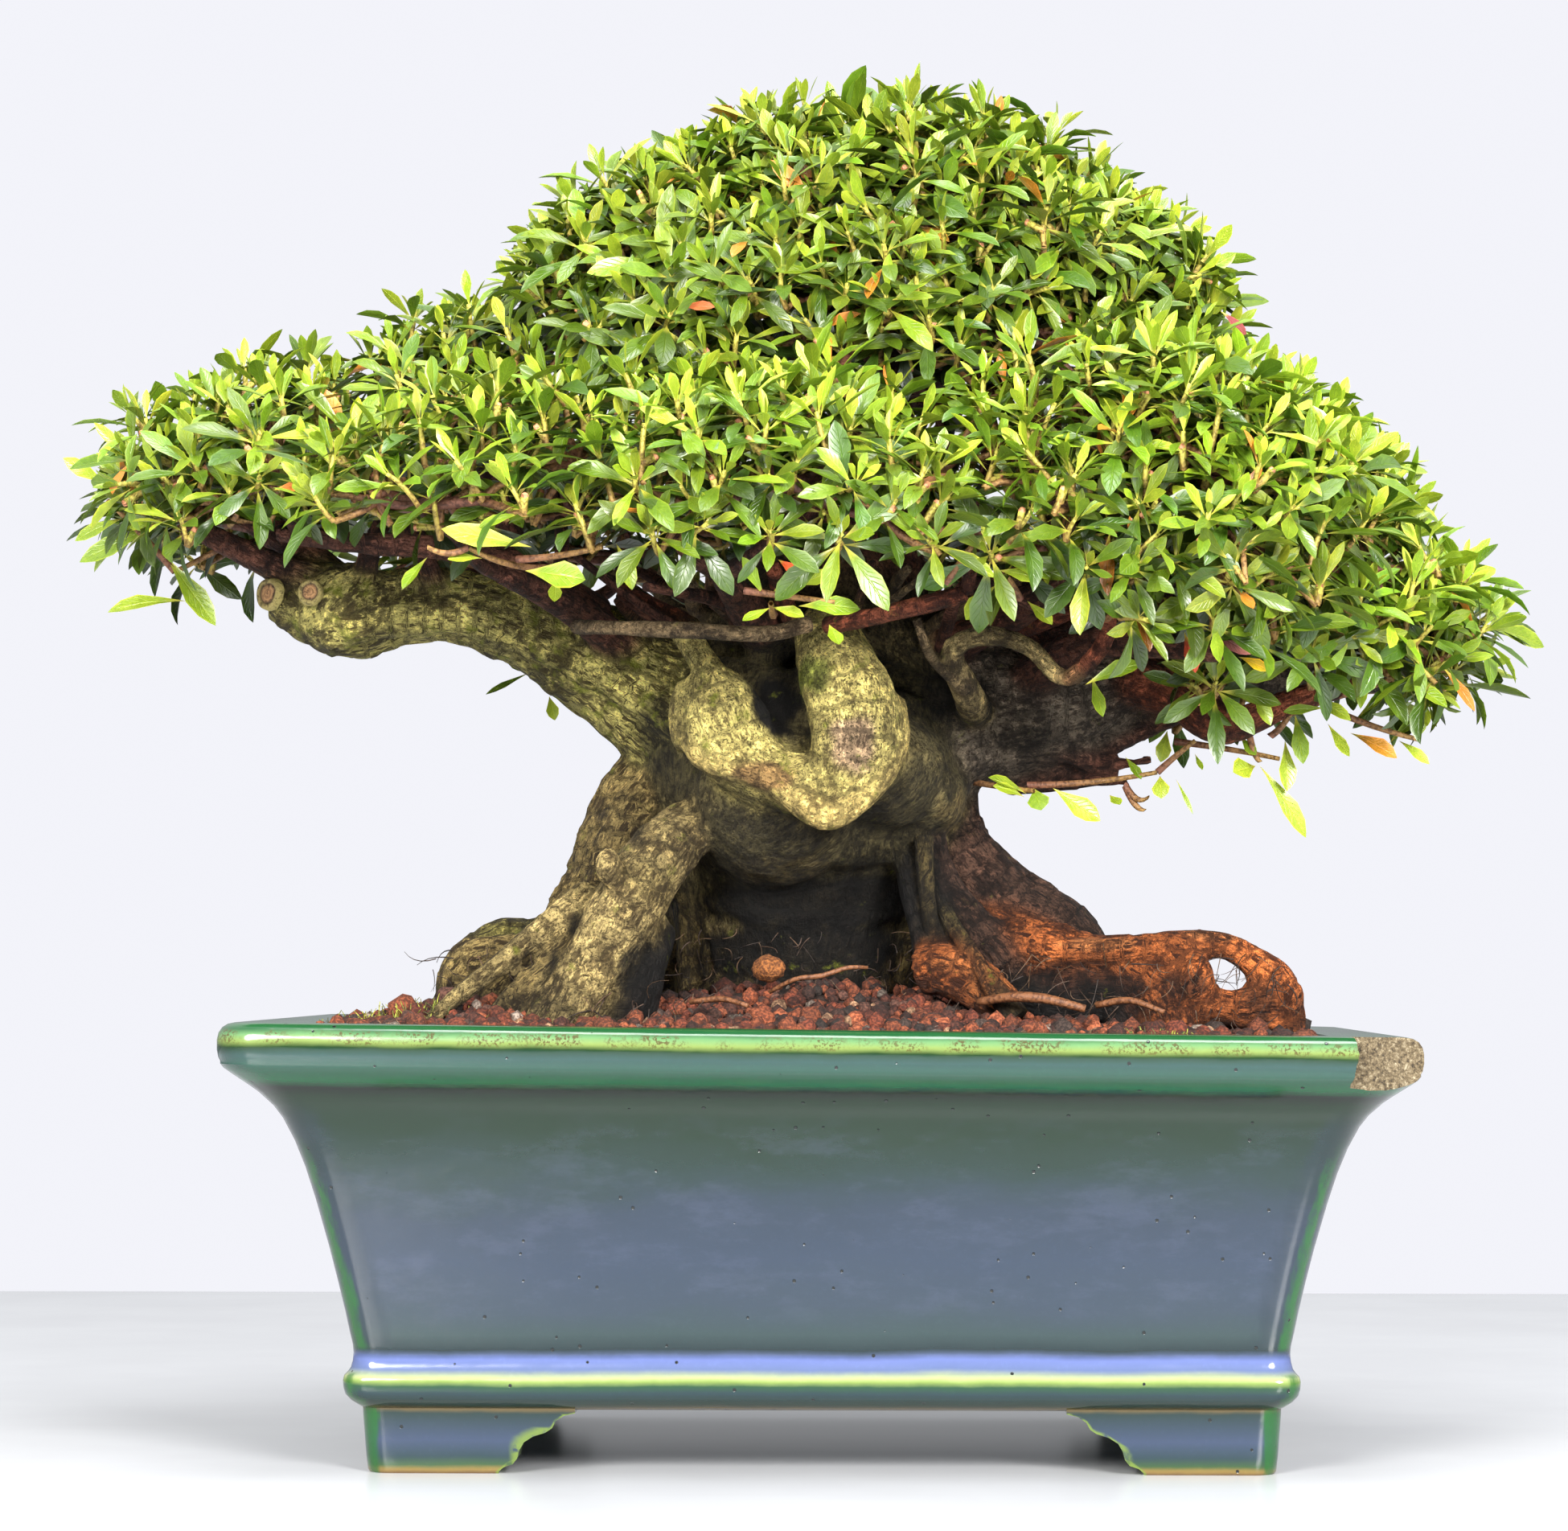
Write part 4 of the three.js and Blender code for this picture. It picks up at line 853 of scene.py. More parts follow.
# Patches of another colour, and patches of painted shade and painted highlight: colour, centre, half-sizes
# and strength.
PATCHES_OF_COLOUR_AND_PAINTED_LIGHT = [
    # Painted shade in the hollow between the burl's lobes.
    (srgb(20, 16, 13), (-15, -56, 233), (9, 16, 13), 1.0),
    # Painted shade in the hollow under the belly and on the belly's underside.
    (srgb(20, 16, 14), (-2, -22, 154), (56, 30, 17), 0.98),
    (srgb(20, 16, 14), (0, -18, 172), (46, 24, 10), 0.95),
    # Painted shade along the front leg.
    (srgb(48, 38, 28), (34, -38, 158), (6, 8, 22), 0.6),
    # Painted shadow under the burl's lower rim.
    (srgb(62, 54, 34), (4, -58, 196), (30, 14, 8), 0.75),
    (srgb(150, 132, 86), (-12, -46, 182), (24, 18, 5), 0.6),
    # Painted shade in the crevice beside the front left root, and on the shaded lump below it.
    (srgb(28, 22, 17), (-57, -36, 192), (6, 24, 5), 0.95),
    (srgb(28, 22, 17), (-66, -42, 178), (4.5, 24, 8), 0.95),
    (srgb(28, 22, 17), (-75, -48, 163), (4.5, 20, 8), 0.95),
    (srgb(28, 22, 17), (-82, -54, 150), (4, 16, 8), 0.9),
    (srgb(22, 18, 16), (-56, -60, 150), (9, 16, 11), 0.9),
    # Painted shade under the long right root.
    (srgb(26, 21, 17), (62, -38, 144), (12, 14, 8), 0.9),
    (srgb(34, 26, 22), (90, -48, 146), (12, 10, 5), 0.85),
    # Painted shade in the recess under the right limb.
    (srgb(30, 24, 20), (66, -30, 222), (14, 12, 8), 0.6),
    # Painted shade on the long right root's lower side.
    (srgb(60, 38, 28), (76, -42, 149), (14, 12, 4), 0.8),
    (srgb(54, 36, 28), (112, -46, 146), (8, 8, 5), 0.8),
    (srgb(64, 42, 30), (135, -42, 141), (6, 8, 9), 0.7),
    # Painted highlights along the long right root's top.
    (srgb(240, 156, 92), (86, -44, 159), (14, 8, 2.5), 0.7),
    (srgb(236, 152, 92), (122, -38, 162), (12, 8, 2.5), 0.7),
    (srgb(236, 144, 80), (40, -56, 153), (9, 6, 4), 0.6),
    (srgb(150, 128, 76), (39, -20, 202), (7, 20, 9), 0.7),
    (srgb(222, 184, 150), (10, -76, 219), (8, 12, 10), 0.85),
    (srgb(206, 158, 100), (-18, -72, 210), (11, 8, 5), 0.85),
    (srgb(112, 140, 30), (0, -60, 240), (8, 14, 8), 0.7),
    # Painted shade in the recess under the right limb, and in the crotch under the left limb.
    (srgb(30, 24, 20), (44, -34, 238), (16, 14, 12), 0.9),
    (srgb(40, 34, 24), (-52, -26, 226), (8, 16, 16), 0.7),
    (srgb(196, 120, 62), (52, -54, 146), (9, 10, 8), 0.7),
    (srgb(60, 46, 32), (-114, -18, 138), (12, 20, 9), 0.8),
    (srgb(104, 112, 44), (-104, -6, 165), (26, 20, 5), 0.6),
    (srgb(186, 164, 100), (-52, -62, 178), (12, 10, 8), 0.5),
]


def points_and_faces(bm):
    """What a bmesh holds; it is freed."""
    points = np.array([v.co for v in bm.verts])
    faces = np.array([[v.index for v in f.verts] for f in bm.faces])
    bm.free()
    return points, faces


def icosphere(levels):
    """Points and faces of a ball with radius 1."""
    bm = bmesh.new()
    bmesh.ops.create_icosphere(bm, subdivisions=levels, radius=1.0)
    return points_and_faces(bm)


def skeleton(limbs):
    """Sample points of every limb and knob: place, tangent, radius, stretch and style."""
    places, tangents, radii, stretch, styles = [], [], [], [], []
    for style, points in limbs:
        p, r, t = smooth_path(points, SKELETON_STEP)
        places.append(p)
        tangents.append(t)
        radii.append(r)
        stretch.append(np.ones((len(p), 3)))
        styles += [style] * len(p)
    for style, at, half in KNOBS:
        places.append(np.array([at], float))
        tangents.append(np.array([[0.7, 0.0, 0.7]]))
        radii.append(np.array([min(half)], float))
        stretch.append(np.array([half], float) / min(half))
        styles.append(style)
    table = np.array([[*colour, *marks] for colour, *marks in styles])
    joined = [np.concatenate(values) for values in (places, tangents, radii, stretch)]
    return (*joined, table)


def packed_points(name):
    """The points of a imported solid, in metres."""
    return np.array([v.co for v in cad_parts[name].data.vertices])


def spray_hubs():
    """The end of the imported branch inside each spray."""
    tree = packed_points("trunk")
    hubs = {}
    for name in sorted(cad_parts):
        if not name.startswith("spray_"):
            continue
        points = packed_points(name)
        middle = (points.min(0) + points.max(0)) / 2
        nearest = np.argsort(((tree - middle) ** 2).sum(1))[:3]
        hubs[name] = pot_frame(tree[nearest].mean(0))
    return hubs


def branches_to(hubs):
    """A branch from the nearest lower wood to each spray's hub."""
    places, _, radii, _, _ = skeleton(WOOD.values())
    woody = (places[:, 2] > BRANCH_FROM_Z) & (radii < BRANCH_FROM_RADIUS)
    places, radii = places[woody], radii[woody]
    made = []
    for i, hub in enumerate(hubs):
        cost = np.linalg.norm(places - hub, axis=1) + 0.6 * np.maximum(0, places[:, 2] - hub[2] + 10)
        k = int(cost.argmin())
        start, thick = places[k], min(BRANCH_RADIUS, 0.8 * radii[k])
        span = np.linalg.norm(hub - start)
        turn = 2.1 * i
        bend = np.array([math.cos(turn) * 0.07, math.sin(turn) * 0.07, -0.1]) * span
        points = []
        sizes = [(share, part * thick) for share, part in BRANCH_TAPER]
        for share, size in (*sizes, (1.0, TWIG_RADIUS)):
            wander = 0.05 * span * np.array([math.sin(7 * share + i), math.cos(5 * share + 2 * i), 0])
            p = start + (hub - start) * share + (bend + wander) * 4 * share * (1 - share)
            points.append([*p, size])
        made.append((BROWN_BRANCH, points))
    return made


def tangle():
    """The crowded older branches that fill the space between the limbs and the leaves."""
    rng = np.random.default_rng(12)
    made = []
    for i in range(TANGLE_COUNT):
        turn = rng.uniform(0, 2 * np.pi)
        way = np.array([1.25 * math.cos(turn), 0.9 * math.sin(turn), 0.0])
        start = np.array([0, 0, rng.uniform(250, 258)]) + way * rng.uniform(18, 60)
        end = start + way * rng.uniform(22, 56) + [0, 0, rng.uniform(8, 26)]
        middle = (start + end) / 2 + rng.normal(0, 5, 3)
        thick = rng.uniform(1.8, 3.6)
        style = (BROWN_BRANCH, RED_BRANCH, BROWN_BRANCH, GREY_BRANCH)[i % 4]
        made.append((style, [[*start, thick], [*middle, 0.85 * thick], [*end, 0.6 * thick]]))
    return made


def melted(limbs):
    """One skin over all the stout limbs and knobs."""
    pile = Pile()
    for i, (_, points) in enumerate(limbs):
        pile.add(*tube(points, sides=14, seed=i))
    ball, ball_faces = icosphere(3)
    for _, at, half in KNOBS:
        pile.add(ball * half + np.array(at), [ball_faces])
    rough = pile.build("trunk_rough", [])
    remesh = rough.modifiers.new("melt", "REMESH")
    remesh.mode = "VOXEL"
    remesh.voxel_size = VOXEL * MM
    soften = rough.modifiers.new("soften", "SMOOTH")
    soften.factor = 0.5
    soften.iterations = 4
    evaluated = rough.evaluated_get(bpy.context.evaluated_depsgraph_get())
    mesh = bpy.data.meshes.new_from_object(evaluated)
    bpy.data.objects.remove(rough)
    return mesh


def bark_of(p, limbs):
    """For each point the colour, marks and grain of the nearest wood, and how thick that wood is."""
    places, tangents, radii, stretch, table = skeleton(limbs)
    count = len(p)
    tint, marks, grain = np.zeros((3, count, 3))
    size = np.zeros(count)
    for start in range(0, count, CHUNK):
        part = slice(start, start + CHUNK)
        apart = np.linalg.norm((p[part, None] - places[None]) / stretch[None], axis=2) - radii[None]
        nearest = apart.min(axis=1, keepdims=True)
        weight = np.exp(-(apart - nearest) / STYLE_BLEND)
        weight /= weight.sum(axis=1, keepdims=True)
        values = weight @ table
        tint[part], marks[part], size[part] = values[:, :3], values[:, 3:], weight @ radii
        along = tangents[apart.argmin(axis=1)]
        grain[part] = p[part] - 0.75 * along * (p[part] * along).sum(axis=1, keepdims=True)
    return tint, marks, grain, size


def shaded_tint(tint, p, normal):
    """The bark's colour with its patches of colour and of painted shade and highlight, blotches, painted
    shade on undersides, and darker near the soil.
    """
    for colour, at, half, strength in PATCHES_OF_COLOUR_AND_PAINTED_LIGHT:
        inside = np.exp(-(np.linalg.norm((p - at) / half, axis=1) ** 2)) + 0.16 * noise(p, 4, 5)
        share = strength * smoothstep(0.3, 0.62, inside)[:, None]
        tint = tint * (1 - share) + colour * share
    blotch = smoothstep(-0.3, 0.5, noise(p, 17, 6) + 0.5 * noise(p, 6, 7))[:, None]
    tint = tint * (0.6 + 0.55 * blotch)
    # Painted shade: faces that look down are darkened.
    under = smoothstep(0.1, 0.9, -normal[:, 2])[:, None]
    tint = tint * (1 - 0.4 * under)
    # Darker within about 15 mm above the soil line, towards the near-black hollow colour.
    near_soil = 0.5 * smoothstep(15, 2, p[:, 2] - SOIL_LINE)[:, None]
    return tint * (1 - near_soil) + CAVE_SHADE[0] * near_soil


def dress_bark(mesh, limbs):
    """Moves a skin of wood into its relief and gives it the values that the bark material reads."""
    p = read_points(mesh)
    normal = read_vectors(mesh.vertex_normals, "vector").astype(float)
    tint, marks, grain, size = bark_of(p, limbs)
    set_attribute(mesh, "bark_tint", with_alpha(shaded_tint(tint, p, normal)))
    set_attribute(mesh, "bark_marks", marks)
    set_attribute(mesh, "bark_grain", grain)
    relief = 1.1 * noise(p, 21, 1) + 0.75 * noise(p, 8.5, 2) + 0.4 * noise(p, 4, 4)
    furrow = 1 - np.abs(noise(grain, 4.2, 3)) * 2.2
    relief -= marks[:, 1] * np.clip(furrow, 0, 1)
    p = p + normal * (relief * (0.2 + 0.8 * smoothstep(3, 12, size)))[:, None]
    mesh.vertices.foreach_set("co", row(p).astype(np.float32).ravel())
    set_shading(mesh)
    mesh.materials.clear()
    mesh.materials.append(BARK)
    mesh.update()


def make_trunk(branches):
    """The wood: one melted skin for the stout limbs, and tubes for the thin branches that leave it."""
    limbs = [*WOOD.values(), *branches]
    stout, thin = [], []
    for limb in limbs:
        widest = max(point[3] for point in limb[1])
        (stout if widest >= THIN_LIMB else thin).append(limb)
    mesh = melted(stout)
    dress_bark(mesh, limbs)
    trunk = bpy.data.objects.new("trunk_bark", mesh)
    bpy.context.scene.collection.objects.link(trunk)
    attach(trunk, "root")
    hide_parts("trunk")

    pile = Pile()
    for i, (_, points) in enumerate(thin):
        pile.add(*tube(points, sides=9, step=3.0, wobble=0.12, seed=i))
    twigs = pile.build("thin_branches", [])
    dress_bark(twigs.data, limbs)
    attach(twigs, "root")


# Healed cuts: centre, the way that they face, and radius.
SCARS = [
    ((-175.5, -27, 269.5), (-0.62, -0.78, 0.05), 3.9),
    ((-161.5, -33.5, 269.5), (-0.1, -0.97, 0.15), 3.0),
]


def make_scars():
    """Round cuts with rings, each in a swollen lip of bark."""
    pile = Pile()
    cos, sin = circle(SCAR_SIDES)
    for at, facing, radius in SCARS:
        at, facing = np.array(at), unit(np.array(facing))
        side = unit(np.cross(facing, [0, 0, 1]))
        ring = np.outer(cos, side) + np.outer(sin, np.cross(facing, side))
        wobble = 1 + 0.07 * noise(ring * 3 + at, 2.2, 9)
        points, values = [], []
        for share, height in SCAR_PROFILE:
            lift = facing * height * radius / PROFILE_RADIUS
            points.append(at + ring * (share * radius * wobble)[:, None] + lift)
            values += [(share, 0, 0)] * SCAR_SIDES
        faces = faces_between(numbered(len(SCAR_PROFILE), SCAR_SIDES))
        pile.add(np.concatenate(points), [faces], scar_at=values)
    scars = pile.build("cut_scars", [SCAR])
    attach(scars, "root")


# Regions where fine roots grow: middle, half-sizes, how many, and length.
HAIR_REGIONS = [
    ((0, -30, 154), (46, 10, 10), 70, 7),
    ((70, -44, 146), (34, 10, 10), 90, 10),
    ((118, -46, 146), (26, 8, 10), 70, 9),
    ((-104, -20, 146), (20, 10, 12), 90, 10),
    ((-62, -70, 138), (30, 10, 6), 50, 9),
]
HAIR_TINTS = np.array([srgb(44, 32, 26), srgb(66, 48, 36), srgb(96, 72, 50)])
# Thin roots that lie on the soil: points of [x, y, z, radius].
LYING_ROOTS = [
    [[48, -62, 141, 1.4], [58, -70, 142.5, 1.6], [68, -74, 142, 1.5], [80, -76, 139, 1.2]],
    [
        [-16, -64, 144, 0.7], [-8, -70, 148, 0.8], [0, -71, 149, 0.8], [8, -70, 151.5, 0.7],
        [14, -68, 151.5, 0.5],
    ],
    [[-40, -72, 141, 0.8], [-30, -78, 142, 0.9], [-22, -84, 140, 0.7]],
    [[84, -60, 140, 1.1], [94, -66, 141.5, 1.0], [104, -72, 138, 0.8]],
]
LYING_TINT = srgb(120, 76, 46)


def picked(rng, tints, count):
    """A random one of the tints, count times."""
    return tints[rng.integers(0, len(tints), count)]


def make_hair_roots():
    """Fine roots that stand out of the wood and hang down to the soil, and thin roots that lie on it."""
    rng = np.random.default_rng(44)
    pile = Pile()
    for middle, half, count, length in HAIR_REGIONS:
        start = np.array(middle) + rng.uniform(-1, 1, (count, 3)) * np.array(half)
        way = rng.normal(0, 1, (count, 3)) * [0.8, 0.45, 0.5] + [0, -0.35, -0.75]
        end = start + unit(way) * (length * rng.uniform(0.5, 1.3, count))[:, None]
        bow = (start + end) / 2 + rng.normal(0, 0.26 * length, (count, 3))
        thick = rng.uniform(0.12, 0.3, count)
        points, faces, _ = strands(start, bow, end, thick, thick * 0.4, rings=6, sides=3)
        pile.add(points, faces, leaf_tint=spread_over(points, picked(rng, HAIR_TINTS, count)))
    for path in LYING_ROOTS:
        points, faces = tube(path, sides=7, step=2.5, wobble=0.12, seed=3)
        pile.add(points, faces, leaf_tint=spread_over(points, LYING_TINT[None]))
    hairs = pile.build("hair_roots", [SHOOT])
    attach(hairs, "root")


# ---------------------------------------------------------------- foliage

# A leaf's rows of points: share of its length, and share of its breadth.
LEAF_STATIONS = np.array([[0.14, 0.16], [0.34, 0.5], [0.6, 1.0], [0.81, 0.8], [0.94, 0.32]])
LEAF_COLUMNS = np.array([-1.0, 0.0, 1.0])

# Layers of whorls: how many places to try, depth under the skin, spacing, leaves in a whorl and light. The
# light is painted into the leaves' tint: the deeper layers are painted darker, as shade.
LAYERS = [
    (26000, 10.5, 11.6, (11, 16), 1.0),
    (9000, 23.0, 13.0, (8, 11), 0.5),
    (6000, 38.0, 16.5, (7, 9), 0.3),
]
SHOOT_LENGTH = (9.0, 17.0)
STUB_SHARE = 0.5
# The foliage's lower edge: x and height.
LOWER_EDGE = np.array([
    (-250, 280), (-190, 284), (-60, 286), (-45, 268), (70, 264), (95, 246), (120, 232), (180, 226),
    (210, 240), (230, 250),
])
LEAF_HANG = 5.0
# No tip is further to the front or back.
TIP_REACH = 137.0
# The first leaves of a whorl stand up and are young. Each next leaf turns on by the golden angle.
YOUNG_SHARE = 0.3
GOLDEN_ANGLE = 2.39996
FADED_SHARE = 0.008
YOUNG_GREEN, FULL_GREEN, OLD_GREEN = srgb(168, 186, 50), srgb(116, 144, 28), srgb(68, 98, 18)
FADED_LEAF = srgb(206, 132, 44)
TWIG_BROWN, TWIG_RED = srgb(88, 58, 48), srgb(122, 76, 58)
SHOOT_OLIVE, SHOOT_GREEN = srgb(156, 122, 64), srgb(196, 192, 80)
CUT_END = srgb(232, 160, 116)


def leaf_template():
    """(across, along, breadth) of one leaf's points, and its faces."""
    rows, columns = len(LEAF_STATIONS), len(LEAF_COLUMNS)
    across = np.concatenate([[0.0], np.tile(LEAF_COLUMNS, rows), [0.0]])
    along = np.concatenate([[0.0], np.repeat(LEAF_STATIONS[:, 0], columns), [1.0]])
    breadth = np.concatenate([[0.0], np.repeat(LEAF_STATIONS[:, 1], columns), [0.0]])
    grid = 1 + numbered(rows, columns)
    corners = [grid[:-1, :-1], grid[:-1, 1:], grid[1:, 1:], grid[1:, :-1]]
    quads = np.stack(corners, axis=-1).reshape(-1, 4)
    base = np.stack([np.zeros(columns - 1, int), grid[0, 1:], grid[0, :-1]], axis=-1)
    tip = np.stack([np.full(columns - 1, rows * columns + 1), grid[-1, :-1], grid[-1, 1:]], axis=-1)
    return across, along, breadth, quads, np.concatenate([base, tip])


def leaves(base, direction, up, length, width, fold, curl, tint):
    """Points, faces, leaf_at and leaf_tint of many leaves. up is where each leaf's face looks."""
    across, along, breadth, quads, tris = leaf_template()
    count, size = len(base), len(across)
    side = unit(np.cross(direction, up))
    up = unit(np.cross(side, direction))
    bend = np.where(np.abs(curl) < 0.05, 0.05, curl)[:, None]
    turn = bend * along
    forward = length[:, None] * np.sin(turn) / bend
    drop = length[:, None] * (np.cos(turn) - 1) / bend
    half = 0.5 * width[:, None] * breadth
    flat = half * across * np.cos(fold)[:, None]
    lift = half * np.abs(across) * (1.25 - 0.45 * np.abs(across)) * np.sin(fold)[:, None]
    station_up = up[:, None] * np.cos(turn)[..., None] + direction[:, None] * np.sin(turn)[..., None]
    points = base[:, None] + direction[:, None] * forward[..., None] + up[:, None] * drop[..., None]
    points = points + side[:, None] * flat[..., None] + station_up * lift[..., None]
    points = points.reshape(-1, 3)
    faces = [copies(quads, count, size), copies(tris, count, size)]
    at = np.tile(np.column_stack([across, along, np.zeros(size)]), (count, 1))
    return points, faces, at, spread_over(points, tint)


def canopy_hull(direction):
    """Where rays from the canopy's heart leave its masses, and the surface normals there."""
    best = np.full(len(direction), -1.0)
    normal = np.zeros_like(direction)
    for at, half in CANOPY:
        half = np.array(half, float)
        o = (CANOPY_HEART - np.array(at)) / half
        d = direction / half
        a, b, c = (d * d).sum(1), (d * o).sum(1), o.dot(o) - 1
        root = b * b - a * c
        t = np.where(root > 0, (-b + np.sqrt(np.maximum(root, 0))) / a, -1.0)
        outer = t > best
        best = np.where(outer, t, best)
        n = unit((o + d * t[:, None]) / half)
        normal[outer] = n[outer]
    return CANOPY_HEART + direction * best[:, None], normal


def thin_out(points, spacing):
    """Which points to keep so that none is nearer than spacing to an earlier one."""
    kept = []
    places = np.zeros((len(points), 3))
    for i, p in enumerate(points):
        if kept and ((places[: len(kept)] - p) ** 2).sum(1).min() < spacing[i] ** 2:
            continue
        places[len(kept)] = p
        kept.append(i)
    return np.array(kept)


def canopy_layer(rng, count, inset, spacing):
    """Seeded places at a depth under the canopy's skin, above its lower edge, with the skin's normals."""
    z = rng.uniform(-0.72, 1.0, count)
    turn = rng.uniform(0, 2 * np.pi, count)
    flat = np.sqrt(1 - z * z)
    direction = np.stack([flat * np.cos(turn), flat * np.sin(turn), z], axis=1)
    at, normal = canopy_hull(direction)
    lumps = 5.0 * noise(at, 34, 11) + 4.5 * noise(at, 15, 12)
    at = at - normal * (inset - lumps + rng.normal(0, 2.2, count))[:, None]
    lowest = np.interp(at[:, 0], LOWER_EDGE[:, 0], LOWER_EDGE[:, 1]) + LEAF_HANG + 4 * noise(at, 18, 14)
    lowest = lowest - 0.25 * (inset - LAYERS[0][1])
    # The right flank is leafy further round to its underside.
    slope = np.where(at[:, 0] > 90, -0.8, -0.5)
    keep = (at[:, 2] > lowest) & (normal[:, 2] > slope) & (np.abs(at[:, 1]) < TIP_REACH)
    at, normal = at[keep], normal[keep]
    low = smoothstep(26, 4, at[:, 2] - lowest[keep])
    kept = thin_out(at, spacing * (1 + 0.2 * noise(at, 20, 13) + 0.25 * low))
    return at[kept], normal[kept]


def whorl_leaves(rng, tip, axis, size, light):
    """Leaves of one whorl: base, direction, up, length, width, fold, curl and tint of each."""
    count = int(rng.integers(*size))
    share = np.clip((np.arange(count) + rng.uniform(-0.3, 0.3, count)) / (count - 1), 0, 1)
    turn = rng.uniform(0, 2 * np.pi) + np.arange(count) * GOLDEN_ANGLE
    side = unit(np.cross(axis, [0.31, 0.2, 0.93]))
    other = np.cross(axis, side)
    out = np.cos(turn)[:, None] * side + np.sin(turn)[:, None] * other
    young = share < YOUNG_SHARE
    lean = np.where(young, 0.25 + 1.3 * share, 0.8 + 0.6 * share) + rng.normal(0, 0.16, count)
    vigour = rng.uniform(0.85, 1.15)
    length = vigour * np.where(young, 10.0 + 14 * share, 16.5 + 5.5 * share)
    length = length * rng.uniform(0.8, 1.12, count)
    width = length * np.where(young, rng.uniform(0.26, 0.36, count), rng.uniform(0.24, 0.33, count))
    direction = unit(axis * np.cos(lean)[:, None] + out * np.sin(lean)[:, None])
    up = unit(axis * np.sin(lean)[:, None] - out * np.cos(lean)[:, None])
    up = unit(up + 0.2 * rng.normal(size=(count, 3)))
    base = tip - axis * (0.5 + 8.0 * share**1.2)[:, None] + out * 0.6
    fold = rng.uniform(0.15, 0.6, count)
    curl = np.where(young, 0.15, 0.2 + 0.7 * share) * rng.uniform(0.3, 1.4, count)
    shade = np.clip(share**0.8 + rng.normal(0, 0.2, count), 0, 1)[:, None]
    tint = np.where(
        shade < 0.45, YOUNG_GREEN + (FULL_GREEN - YOUNG_GREEN) * shade / 0.45,
        FULL_GREEN + (OLD_GREEN - FULL_GREEN) * (shade - 0.45) / 0.55,
    )
    tint = tint * rng.uniform(0.8, 1.2) * rng.uniform(0.85, 1.15, (count, 1))
    tint = tint * (1 + rng.normal(0, 0.05, (count, 3)))
    tint[rng.uniform(size=count) < FADED_SHARE] = FADED_LEAF
    # The tint is multiplied by the whorl's painted light.
    return base, direction, up, length, width, fold, curl, np.clip(tint * light, 0.004, 1)


def light_on(tips, normals, light):
    """How much painted light each whorl's tint gets: painted shade underneath, older and darker in the
    crown, and painted brighter at the right.
    """
    above, patchy = smoothstep(-0.35, 0.5, normals[:, 2]), noise(tips, 24, 15)
    crown, right = smoothstep(290, 380, tips[:, 2]), smoothstep(60, 150, tips[:, 0])
    # Painted shade on the undersides and painted light on the right flank.
    return light * (0.66 + 0.42 * above) * (1 + 0.16 * patchy) * (1 - 0.22 * crown) * (1 + 0.14 * right)


def make_foliage(hubs):
    """Every bunch's whorls on their shoots and twigs, one piece for each spray."""
    rng = np.random.default_rng(20)
    names, places = list(hubs), np.array(list(hubs.values()))
    whorls = [[] for _ in names]
    for count, inset, spacing, size, light in LAYERS:
        tips, normals = canopy_layer(rng, count, inset, spacing)
        outward = rng.uniform(0.35, 1.1, (len(tips), 1))
        axes = unit(outward * normals + [0, 0, 0.7] + 0.32 * rng.normal(size=normals.shape))
        owner = np.linalg.norm(tips[:, None] - places[None], axis=2).argmin(axis=1)
        for k, tip, axis, painted_light in zip(owner, tips, axes, light_on(tips, normals, light)):
            whorls[k].append((tip, axis, size, painted_light))
    for name, hub, mine in zip(names, places, whorls):
        pile = Pile()
        parts = [whorl_leaves(rng, *whorl) for whorl in mine]
        points, faces, at, tint = leaves(*(np.concatenate(values) for values in zip(*parts)))
        pile.add(points, faces, 0, leaf_at=at, leaf_tint=tint)
        tips, axes = (np.array([whorl[j] for whorl in mine]) for j in (0, 1))
        add_twigs(rng, pile, hub, tips, axes)
        piece = pile.build("leaves_" + name[-2:], [LEAF, SHOOT])
        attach(piece, "root")
        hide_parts(name)


def add_stalks(pile, start, middle, end, radii, colours, rings=4, sides=4):
    """Stalks in the shoot's material, whose radius and colour run from the first to the last given."""
    thick, thin = (np.full(len(start), r) for r in radii)
    points, faces, along = strands(start, middle, end, thick, thin, rings, sides)
    tint = colours[0] + (colours[1] - colours[0]) * along[:, None]
    pile.add(points, faces, 1, leaf_at=np.zeros((len(points), 3)), leaf_tint=with_alpha(tint))


